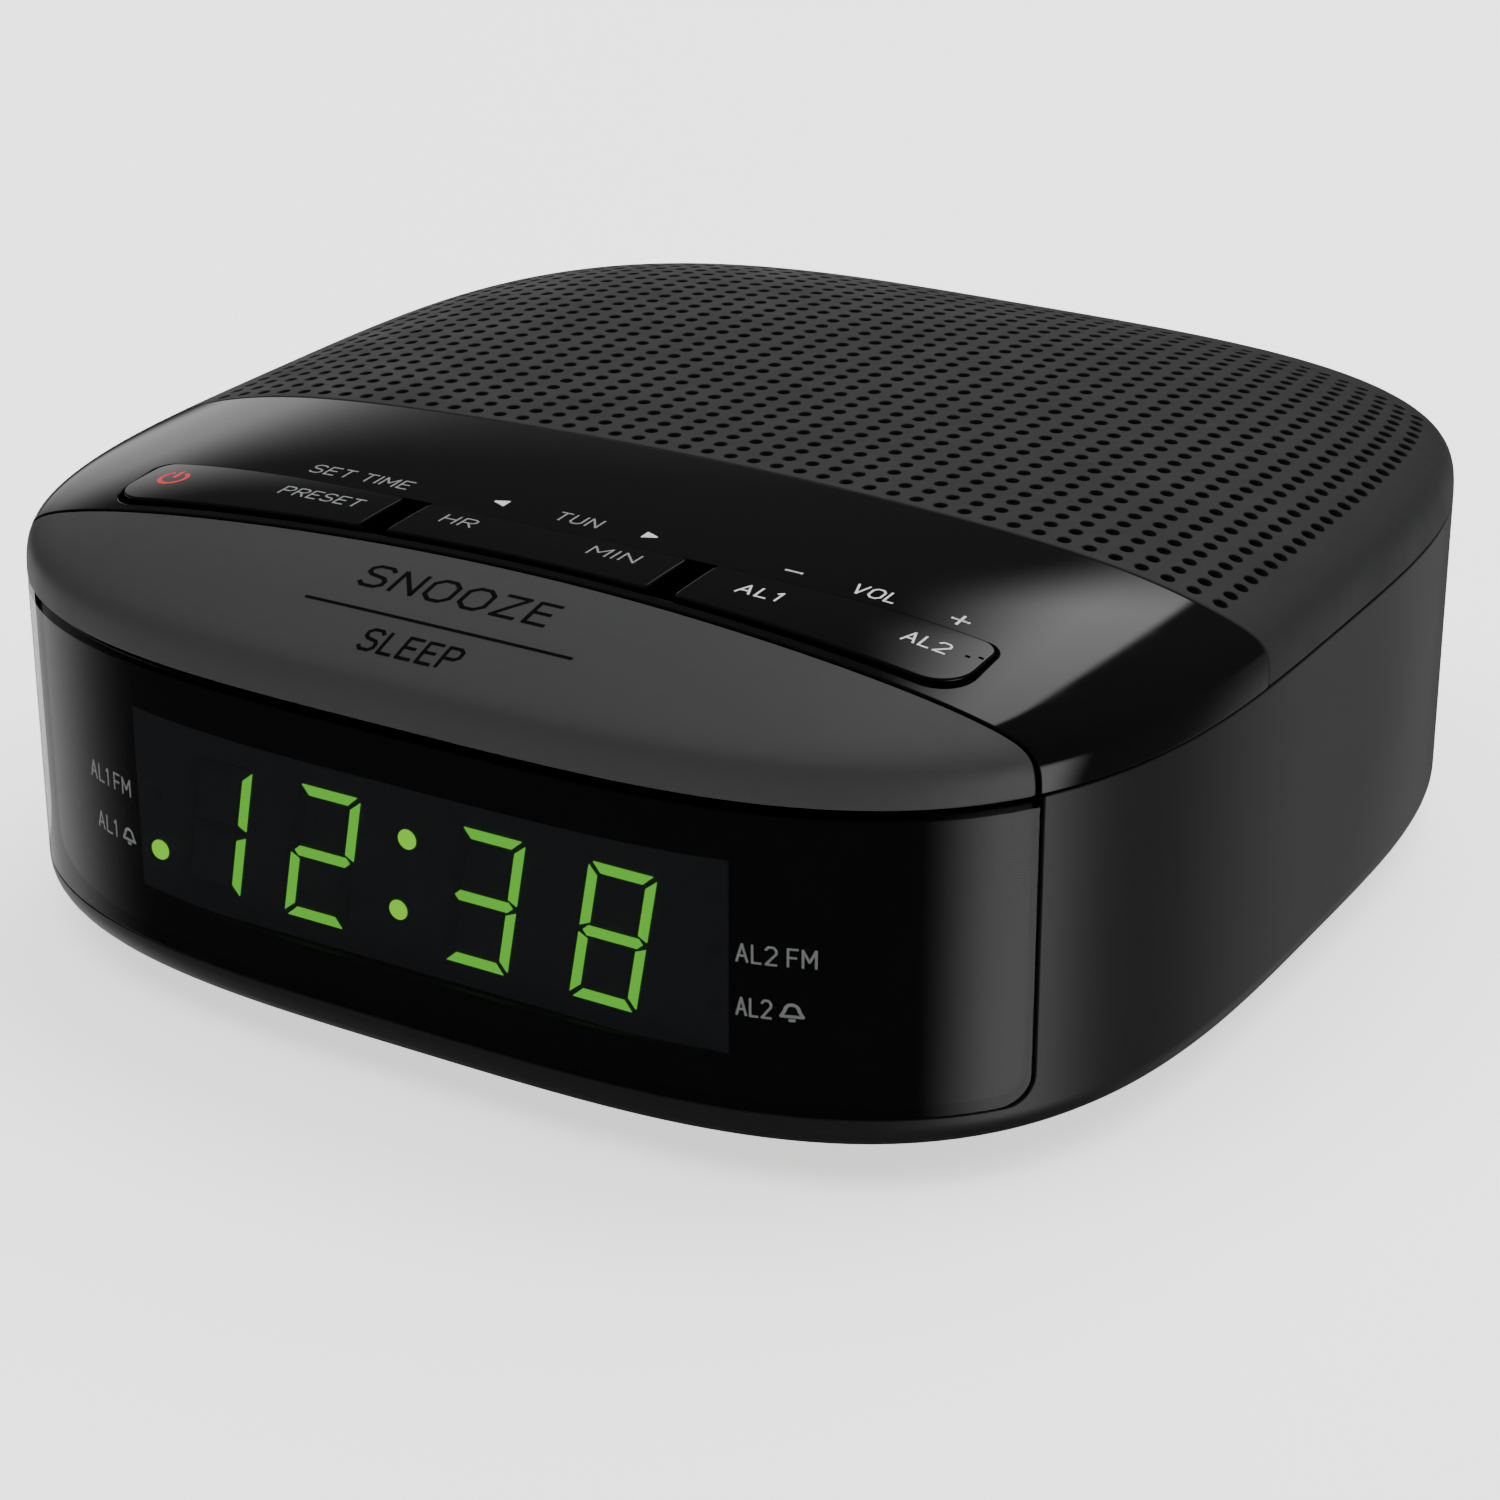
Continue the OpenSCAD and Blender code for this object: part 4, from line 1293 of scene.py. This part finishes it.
@dataclass
class CaseWall:
    """The smooth outer wall of the case, tucked under to the floor, open for the lens."""

    opening: FrontOpening
    thickness: float = 2.2
    radius: float = 0.2
    tuck: float = 6.2
    tuck_h: float = 4.6
    floor_scale: float = 0.845
    clearance: float = 0.2
    top_gap: float = 0.04

    def skin(self) -> Skin:
        """The wall as two grids walked round the outline: the wall itself and the foot below it.

        Below the lens the wall turns under in a quarter ellipse: the scale is 1 - tuck (1 - sin a)
        and the height is the floor's plus tuck_h (1 - cos a).

        Returns:
            The skin.
        """
        walked, line = OUTLINE.walk()
        whole = walked[-1]
        front_half = line[: len(line) // 4, 0]
        lens_side = self.opening.half + self.clearance
        to_side = float(np.interp(lens_side, front_half, walked[: len(front_half)]))
        inward, rise = self.opening.side(self.clearance, 10)
        top = PART_Z - self.top_gap - self.radius
        heights = np.concatenate([rise, np.linspace(rise[-1], top, 12)[1:]])
        starts = to_side - np.concatenate([inward, np.zeros(11)])
        share = np.linspace(0, 1, 241)[None, :]
        around = starts[:, None] + (whole - 2 * starts[:, None]) * share
        wall = self.upright(around, heights[:, None] * np.ones_like(share), walked, line)
        front = np.linspace(-starts[0], starts[0], 61)[:-1]
        row = np.concatenate([front, around[0]])
        flat = 3  # rows in the upright stretch, and again in the flat foot
        drop = np.linspace(heights[0], FLOOR_Z + self.tuck_h, flat)
        angle = np.linspace(math.pi / 2, 0, 13)[1:]
        drawn_in = self.tuck / OUTLINE.half_w
        size = np.concatenate(
            [np.ones(flat), 1 - drawn_in * (1 - np.sin(angle)),
             np.linspace(1 - drawn_in, self.floor_scale, flat + 1)[1:]]
        )
        height = np.concatenate(
            [drop, FLOOR_Z + self.tuck_h * (1 - np.cos(angle)), np.full(flat, FLOOR_Z)]
        )
        aside = np.concatenate([np.ones(flat), self.tuck_h * np.sin(angle), np.zeros(flat)])
        down = np.concatenate([np.zeros(flat), self.tuck * np.cos(angle), np.ones(flat)])
        x, y = self.place(row, walked, line)
        slope = unit(OUTLINE.slope(x, y))
        points = np.stack(
            [size[:, None] * x, size[:, None] * y, height[:, None] * np.ones_like(x)], -1
        )
        normals = np.stack(
            [aside[:, None] * slope[:, 0], aside[:, None] * slope[:, 1],
             -down[:, None] * np.ones_like(x)], -1,
        )
        foot = grid_skin(points[::-1], unit(normals[::-1]))
        return join([wall, foot])

    @staticmethod
    def place(around: np.ndarray, walked: np.ndarray, line: np.ndarray) -> tuple:
        """Plan points at distances walked along the outline.

        Args:
            around: The distances.
            walked: Distances of the outline's own points.
            line: The outline's points.

        Returns:
            x and y.
        """
        at = np.mod(around, walked[-1])
        return np.interp(at, walked, line[:, 0]), np.interp(at, walked, line[:, 1])

    def upright(
        self, around: np.ndarray, height: np.ndarray, walked: np.ndarray, line: np.ndarray
    ) -> Skin:
        """A grid on the upright part of the wall.

        Args:
            around: Distance walked, for each row and column.
            height: Height, in the same layout.
            walked: Distances of the outline's own points.
            line: The outline's points.

        Returns:
            The skin.
        """
        x, y = self.place(around, walked, line)
        slope = unit(OUTLINE.slope(x, y))
        normals = np.concatenate([slope, np.zeros_like(slope[..., :1])], -1)
        return grid_skin(np.stack([x, y, height], -1), normals)

    def build(self) -> None:
        """Makes the wall."""
        body = shell(self.skin(), self.thickness, self.radius, 3)
        make_piece("case_wall", body, CASE_ABS, "case", ["case_body"])


@dataclass
class FrontLens:
    """The smoked lens, flush with the wall, and the printed mask close behind it."""

    opening: FrontOpening
    top: float = 38.3
    thickness: float = 1.2
    radius: float = 0.15
    clearance: float = 0.02
    slant: float = 0.7
    mask_half: float = 59.4
    mask_t: float = 0.6
    mask_gap: float = 1.45
    window: tuple[float, float, float, float] = (-35.8, 35.2, 12.1, 32.6)

    def lens_skin(self) -> Skin:
        """The lens: rows up the front whose ends follow the rounded corners.

        The corner arcs are measured along the wall, and slant is the share of that along x there.

        Returns:
            The skin.
        """
        inset = self.radius + self.clearance
        inward, rise = self.opening.side(-inset, 10)
        up = np.linspace(rise[-1], self.top - self.radius, 14)[1:]
        inward = np.concatenate([inward, np.zeros(len(up))]) * self.slant
        half = self.opening.half - inset - inward
        height = np.concatenate([rise, up])
        x = half[:, None] * np.sin(np.linspace(-1, 1, 141) * math.pi / 2)[None, :]
        y = OUTLINE.front(x)
        slope = unit(OUTLINE.slope(x, y))
        normals = np.concatenate([slope, np.zeros_like(slope[..., :1])], -1)
        return grid_skin(np.stack([x, y, height[:, None] * np.ones_like(x)], -1), normals)

    def wall_point(self, x: np.ndarray, z: np.ndarray, off: float = 0.0) -> tuple:
        """Points of the mask, by x and height.

        Args:
            x: Distances to the right.
            z: Heights.
            off: Distance to stand off.

        Returns:
            Points and normals.
        """
        size = 1 - self.mask_gap / OUTLINE.half_w
        y = OUTLINE.front(x, size)
        slope = unit(OUTLINE.slope(x, y))
        normals = np.concatenate([slope, np.zeros_like(slope[..., :1])], -1)
        return np.stack([x, y, z], -1) + off * normals, normals

    def mask_skin(self) -> Skin:
        """The mask: a grid with the window's faces left out.

        Returns:
            The skin.
        """
        left, right, low, high = self.window
        xs = np.concatenate(
            [np.linspace(-self.mask_half, left, 26)[:-1], np.linspace(left, right, 41)[:-1],
             np.linspace(right, self.mask_half, 26)]
        )
        zs = np.concatenate(
            [np.linspace(self.opening.foot + 0.5, low, 4)[:-1], np.linspace(low, high, 5)[:-1],
             np.linspace(high, self.top - 0.2, 4)]
        )
        x, z = np.meshgrid(xs, zs)
        skin = grid_skin(*self.wall_point(x, z))
        middle = skin.points[skin.faces].mean(axis=1)
        inside = (middle[:, 0] > left) & (middle[:, 0] < right)
        inside &= (middle[:, 2] > low) & (middle[:, 2] < high)
        return Skin(skin.points, skin.normals, skin.faces[~inside])

    def build(self) -> None:
        """Makes the lens, the mask and the marks printed on the mask."""
        lens = shell(self.lens_skin(), self.thickness, self.radius, 3)
        make_piece("front_lens_pane", lens, SMOKED_ACRYLIC, "case", ["front_lens"])
        mask = shell(self.mask_skin(), self.mask_t, 0.1, 2)
        make_piece("front_mask", mask, MASK_BLACK, "case")
        marks = Marks(self.wall_point, 0.03)
        marks.write("AL2 FM", 35.9, 43.1, 23.3, 1.8, 0.24)
        marks.write("AL2", 35.9, 39.1, 17.7, 1.8, 0.24)
        marks.bell(41.0, 16.8, 1.8, 0.32)
        marks.write("AL1 FM", -43.2, -36.2, 22.9, 1.8, 0.24)
        marks.write("AL1", -42.4, -39.1, 17.4, 1.8, 0.24)
        marks.bell(-36.9, 16.5, 1.75, 0.32)
        marks.build("lens_marks", LENS_INK_PAINTED_GLOW, "case")


class Segment(Enum):
    """The seven bars of a digit, as corners of its box from 0,0 to 1,1."""

    TOP = ((0, 1), (1, 1))
    UPPER_RIGHT = ((1, 1), (1, 0.5))
    LOWER_RIGHT = ((1, 0.5), (1, 0))
    BOTTOM = ((0, 0), (1, 0))
    LOWER_LEFT = ((0, 0.5), (0, 0))
    UPPER_LEFT = ((0, 1), (0, 0.5))
    MIDDLE = ((0, 0.5), (1, 0.5))


DIGITS: dict[str, set[Segment]] = {
    "1": {Segment.UPPER_RIGHT, Segment.LOWER_RIGHT},
    "2": {Segment.TOP, Segment.UPPER_RIGHT, Segment.MIDDLE, Segment.LOWER_LEFT, Segment.BOTTOM},
    "3": {Segment.TOP, Segment.UPPER_RIGHT, Segment.MIDDLE, Segment.LOWER_RIGHT, Segment.BOTTOM},
    "8": set(Segment),
}


@dataclass
class Display:
    """Four leaning seven-bar digits over a tinted diffuser, a colon, and two alarm lamps."""

    time: str = "1238"
    centres: tuple[float, ...] = (-25.6, -12.3, 7.1, 21.9)
    middle_z: float = 20.95
    half_height: float = 7.45
    half_width: float = 3.75
    lean: float = math.tan(math.radians(10))
    bar: float = 1.0
    break_gap: float = 0.42
    face_y: float = -64.36
    proud: float = 0.12
    edge: float = 0.04
    lit_lamps: tuple = ((-1.8, 25.4, 1.02), (-3.2, 17.4, 1.02), (-33.1, 16.6, 1.05))
    dark_lamps: tuple = ((-33.0, 22.7, 0.6), (33.4, 22.7, 0.6), (33.2, 16.5, 0.6))

    def plate(self, corners: np.ndarray, y: float, depth: float, radius: float) -> Body:
        """A flat bar with rounded edges from its outline.

        Args:
            corners: Even number of corners in x and z, counter-clockwise from the front.
            y: Its front face.
            depth: Its thickness.
            radius: Radius of its edges.

        Returns:
            The mesh.
        """
        points = np.stack([corners[:, 0], np.full(len(corners), y), corners[:, 1]], -1)
        normals = np.tile([0.0, -1.0, 0.0], (len(corners), 1))
        last = len(corners) - 1
        fan = np.array([[i, i + 1, last - i - 1, last - i] for i in range(len(corners) // 2 - 1)])
        return shell(Skin(points, normals, fan), depth, radius, 2)

    def bar_outline(self, centre: float, segment: Segment) -> np.ndarray:
        """A bar's corners: a strip inside the digit's box whose ends are cut on the slant.

        Args:
            centre: The digit's middle.
            segment: Which bar.

        Returns:
            Corners in x and z.
        """
        (x0, z0), (x1, z1) = segment.value
        box = np.array([[x0, z0], [x1, z1]], float)
        size = np.array([self.half_width, self.half_height])
        ends = (box * 2 - 1) * size
        along = unit(ends[1] - ends[0])
        gap, w = self.break_gap, self.bar
        start, end = ends[0] + along * gap, ends[1] - along * gap
        inward = -np.sign(ends.mean(axis=0)) * np.array([abs(along[1]), abs(along[0])])
        if segment is Segment.MIDDLE:
            aside = np.array([0.0, w / 2])
            corners = np.array(
                [start, start + along * w / 2 - aside, end - along * w / 2 - aside, end,
                 end - along * w / 2 + aside, start + along * w / 2 + aside]
            )
        else:
            near_cut = w if self.at_corner(box[0]) else w / 2
            far_cut = w if self.at_corner(box[1]) else w / 2
            corners = np.array(
                [start, end, end - along * far_cut + inward * w,
                 start + along * near_cut + inward * w]
            )
        x = corners[:, 0] + corners[:, 1] * self.lean + centre
        outline = np.stack([x, corners[:, 1] + self.middle_z], -1)
        turned = np.roll(outline, -1, axis=0)
        area = (outline[:, 0] * turned[:, 1] - turned[:, 0] * outline[:, 1]).sum()
        return outline if area > 0 else outline[::-1]

    @staticmethod
    def at_corner(place: np.ndarray) -> bool:
        """Whether a bar's end is at a corner of the digit, where it is cut at 45 degrees.

        Args:
            place: The end, in the digit's box.

        Returns:
            True at a corner.
        """
        return bool(abs(place[1] - 0.5) > 0.1)

    def lamp(self, x: float, z: float, radius: float) -> Body:
        """A round lamp.

        Args:
            x: Its middle.
            z: Its height.
            radius: Its radius.

        Returns:
            The mesh.
        """
        turn = np.linspace(0, math.tau, 25)[:-1]
        corners = np.stack([x + radius * np.cos(turn), z + radius * np.sin(turn)], -1)
        return self.plate(corners, self.face_y - self.proud, self.proud, self.edge)

    def build(self, window: tuple[float, float, float, float]) -> None:
        """Makes the diffuser, the lit and unlit bars, and the lamps.

        Args:
            window: Left, right, lower and upper edge of the mask's window.
        """
        left, right, low, high = window
        corners = np.array([[left - 1, low - 1], [right + 1, low - 1], [right + 1, high + 1],
                            [left - 1, high + 1]])
        pane = self.plate(corners, self.face_y, 0.15, 0.05)
        # The diffuser's glow is painted light for the lit window behind the lens.
        make_piece("display_diffuser", pane, DIFFUSER_PAINTED_GLOW, "case")
        lit, unlit = [], []
        for digit, centre in zip(self.time, self.centres):
            for segment in Segment:
                outline = self.bar_outline(centre, segment)
                bar = self.plate(outline, self.face_y - self.proud, self.proud, self.edge)
                (lit if segment in DIGITS[digit] else unlit).append(bar)
        make_piece("lit_segments", gather(lit), LIT_SEGMENT, "case", ["display_segments"])
        # The unlit bars and lamps glow faintly: painted light, not lit diodes.
        make_piece("unlit_segments", gather(unlit), UNLIT_SEGMENT_PAINTED_GLOW, "case")
        lamps = {"lit_lamps": (self.lit_lamps, LIT_DOT),
                 "unlit_lamps": (self.dark_lamps, UNLIT_SEGMENT_PAINTED_GLOW)}
        for name, (places, finish) in lamps.items():
            make_piece(name, gather([self.lamp(*place) for place in places]), finish, "case")


@dataclass
class SnoozeSprings:
    """Two wire coils that hold the snooze bar up."""

    wire: float = 0.45
    turns: float = 5.0
    travel: float = 0.8

    def coil(self, centre: tuple[float, float], radius: float, z0: float, z1: float) -> Body:
        """A round wire carried along a helix, with closed ends.

        Args:
            centre: The axis in plan.
            radius: Radius of the helix.
            z0: Foot of the spring.
            z1: Top of the spring.

        Returns:
            The mesh.
        """
        t = np.linspace(0, math.tau * self.turns, int(20 * self.turns))[:, None]
        ring = np.linspace(0, math.tau, 9)[None, :]
        half = self.wire / 2
        out = radius + half * np.cos(ring)
        rise = z0 + half + (z1 - z0 - self.wire) * t / t[-1, 0]
        points = np.stack(
            [centre[0] + out * np.cos(t), centre[1] + out * np.sin(t), rise + half * np.sin(ring)],
            -1,
        )
        normals = np.stack(
            [np.cos(ring) * np.cos(t), np.cos(ring) * np.sin(t), np.sin(ring) + 0 * t], -1
        )
        skin = grid_skin(points[:, ::-1], normals[:, ::-1])
        return Body(skin.points, skin.normals, skin.faces)

    def build(self) -> None:
        """Makes both coils."""
        low, high = box_mm("snooze_springs")
        radius = (high[1] - low[1] - self.wire) / 2
        y = (low[1] + high[1]) / 2
        x = high[0] - radius - self.wire / 2
        coils = [self.coil((sign * x, y), radius, low[2], high[2]) for sign in (-1, 1)]
        piece = make_piece("snooze_coils", gather(coils), SPRING_WIRE, "case", ["snooze_springs"])
        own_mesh(piece)


# ---------- studio ----------


@dataclass(frozen=True)
class Card:
    """A reflector card far off: a patch of the surround between two azimuths and two heights.

    Azimuths are degrees to the right of the front, and heights are sines of the elevation. Each
    edge fades over its own width.
    """

    left: tuple[float, float]
    right: tuple[float, float]
    low: tuple[float, float]
    high: tuple[float, float]
    strength: float

    def mask(
        self, tree: bpy.types.NodeTree, azimuth: bpy.types.NodeSocket, height: bpy.types.NodeSocket
    ) -> bpy.types.NodeSocket:
        """The card's share of each direction, the product of its four fading edges.

        Args:
            tree: The surround's node tree.
            azimuth: Azimuth of the direction, in radians.
            height: Upward part of the direction.

        Returns:
            The share's socket.
        """
        edges = [
            (azimuth, math.radians(self.left[0]), math.radians(self.left[1])),
            (azimuth, math.radians(self.right[1]), math.radians(self.right[0])),
            (height, self.low[0], self.low[1]),
            (height, self.high[1], self.high[0]),
        ]
        share = None
        for value, off, full in edges:
            edge = add_node(
                tree,
                "ShaderNodeMapRange",
                {".interpolation_type": "SMOOTHSTEP", "From Min": off, "From Max": full},
                {"Value": value},
            ).outputs["Result"]
            share = edge if share is None else Studio.maths(tree, "MULTIPLY", share, edge)
        return share


@dataclass
class Studio:
    """A pale floor that sweeps up behind, soft lamps, reflector cards, and the camera."""

    target: tuple[float, float, float] = (0.0, 0.0, 0.024)
    azimuth: float = 30.613
    elevation: float = 22.531
    distance: float = 0.40993
    focal: float = 88.51
    surround: float = 0.06
    cards: tuple[Card, ...] = (
        # behind and above: the pale plateau at the panel's right end
        Card((-173.0, -171.5), (-166.0, -153.0), (0.46, 0.56), (0.85, 0.95), 2.0),
        # behind and to the left: the left end of the panel
        Card((-158.0, -150.0), (-134.0, -118.0), (-0.12, 0.0), (0.16, 0.36), 0.85),
        # to the left, low: the left end of the lens
        Card((-133.0, -122.0), (-96.0, -60.0), (-0.8, -0.65), (-0.2, -0.1), 0.9),
        # to the right, low: the right end of the lens and the lips above it
        Card((45.0, 78.0), (88.0, 104.0), (-0.75, -0.6), (-0.05, 0.1), 2.4),
        # to the right and behind, low: the satin side wall
        Card((130.0, 172.0), (178.0, 179.8), (-0.8, -0.6), (0.0, 0.2), 0.5),
    )

    def direction(self, azimuth: float, elevation: float) -> Vector:
        """The direction from the object towards a lamp or the camera.

        Args:
            azimuth: Degrees to the right of the front.
            elevation: Degrees up.

        Returns:
            A unit vector.
        """
        a, e = math.radians(azimuth), math.radians(elevation)
        return Vector((math.sin(a) * math.cos(e), -math.cos(a) * math.cos(e), math.sin(e)))

    def camera(self) -> None:
        """Sets up the camera at the object's own scale."""
        back = self.direction(self.azimuth, self.elevation)
        data = bpy.data.cameras.new("camera")
        data.lens = self.focal
        data.shift_x, data.shift_y = -0.0065, -0.0745
        data.clip_start = 0.01
        camera = bpy.data.objects.new("camera", data)
        camera.location = Vector(self.target) + back * self.distance
        camera.rotation_euler = (-back).to_track_quat("-Z", "Y").to_euler()
        bpy.context.scene.collection.objects.link(camera)
        bpy.context.scene.camera = camera

    def lamp(
        self, name: str, azimuth: float, elevation: float, far: float, size: tuple[float, float],
        power: float,
    ) -> None:
        """Adds a soft rectangular lamp that faces the object.

        Args:
            name: Its name.
            azimuth: Degrees to the right of the front.
            elevation: Degrees up.
            far: Distance in metres.
            size: Width and height in metres.
            power: Power in watts.
        """
        data = bpy.data.lights.new(name, "AREA")
        data.shape, data.size, data.size_y = "RECTANGLE", *size
        data.energy = power
        lamp = bpy.data.objects.new(name, data)
        back = self.direction(azimuth, elevation)
        lamp.location = Vector(self.target) + back * far
        lamp.rotation_euler = back.to_track_quat("Z", "Y").to_euler()
        lamp.visible_glossy = False
        bpy.context.scene.collection.objects.link(lamp)

    def floor(self) -> None:
        """The floor and backdrop: a sheet whose profile is flat, then an arc, then upright."""
        turn = np.linspace(0, math.pi / 2, 17)
        run = np.concatenate([np.linspace(-2.5, 1.6, 8), 1.6 + 0.8 * np.sin(turn)[1:], [2.4]])
        rise = np.concatenate([np.zeros(8), 0.8 - 0.8 * np.cos(turn)[1:], [2.6]])
        x = np.linspace(-4, 4, 9)[None, :] * np.ones((len(run), 1))
        points = np.stack([x, run[:, None] + 0 * x, rise[:, None] + 0 * x], -1) / MM
        skin = grid_skin(points, np.zeros_like(points))
        mesh = bpy.data.meshes.new("floor")
        mesh.from_pydata((skin.points * MM).tolist(), [], skin.faces.tolist())
        mesh.polygons.foreach_set("use_smooth", np.ones(len(mesh.polygons), bool))
        mesh.materials.append(FLOOR_PAPER.material())
        floor = bpy.data.objects.new("floor", mesh)
        floor.visible_glossy = False
        bpy.context.scene.collection.objects.link(floor)

    def world(self) -> None:
        """A dim surround with soft-edged reflector cards, so polished black stays black between."""
        world = bpy.data.worlds.new("surround")
        world.use_nodes = True
        tree = world.node_tree
        tree.nodes.clear()
        way = add_node(tree, "ShaderNodeTexCoord", {}, {})
        parts = add_node(tree, "ShaderNodeSeparateXYZ", {}, {"Vector": way.outputs["Generated"]})
        flipped = self.maths(tree, "MULTIPLY", parts.outputs["Y"], -1.0)
        azimuth = self.maths(tree, "ARCTAN2", parts.outputs["X"], flipped)
        total = None
        for card in self.cards:
            mask = card.mask(tree, azimuth, parts.outputs["Z"])
            bright = self.maths(tree, "MULTIPLY", mask, card.strength)
            total = bright if total is None else self.maths(tree, "ADD", total, bright)
        total = self.maths(tree, "ADD", total, self.surround)
        glow = add_node(tree, "ShaderNodeBackground", {}, {"Strength": total})
        plain = add_node(tree, "ShaderNodeBackground", {"Strength": 0.85}, {})
        ray = add_node(tree, "ShaderNodeLightPath", {}, {})
        both = add_node(tree, "ShaderNodeMixShader", {}, {"Fac": ray.outputs["Is Camera Ray"]})
        tree.links.new(glow.outputs["Background"], both.inputs[1])
        tree.links.new(plain.outputs["Background"], both.inputs[2])
        add_node(tree, "ShaderNodeOutputWorld", {}, {"Surface": both.outputs["Shader"]})
        for shade in (glow, plain):
            shade.inputs["Color"].default_value = (1.0, 1.0, 1.0, 1.0)
        bpy.context.scene.world = world

    @staticmethod
    def maths(
        tree: bpy.types.NodeTree, operation: str, first: bpy.types.NodeSocket,
        second: bpy.types.NodeSocket | float,
    ) -> bpy.types.NodeSocket:
        """Adds one sum of two values.

        Args:
            tree: The node tree.
            operation: Blender's name of the sum.
            first: The first value.
            second: The second value, a socket or a number.

        Returns:
            The result's socket.
        """
        node = add_node(tree, "ShaderNodeMath", {".operation": operation}, {})
        tree.links.new(first, node.inputs[0])
        if isinstance(second, float):
            node.inputs[1].default_value = second
        else:
            tree.links.new(second, node.inputs[1])
        return node.outputs[0]

    def build(self) -> None:
        """Makes the whole studio."""
        self.camera()
        self.floor()
        self.world()
        self.lamp("overhead_softbox", 165, 60, 1.6, (1.6, 1.2), 20)
        self.lamp("right_softbox", 110, 35, 1.5, (0.9, 1.0), 3.5)
        self.lamp("left_softbox", -50, 60, 1.5, (0.9, 0.9), 7)
        self.lamp("floor_wash", 0, 88, 2.4, (3.2, 3.2), 62)


def main() -> None:
    """Builds the clock radio's looks in order, from the top covers to the studio."""
    logging.basicConfig(level=logging.INFO, format="%(message)s")
    dress_cad_nodes()
    keys = KeyRow()
    opening = FrontOpening()
    lens = FrontLens(opening)
    for part in (SnoozeBar(), keys, ControlPanel(keys), GrilleCover(), CaseWall(opening), lens):
        part.build()
    Display().build(lens.window)
    SnoozeSprings().build()
    Studio().build()


if __name__ == "__main__":
    main()
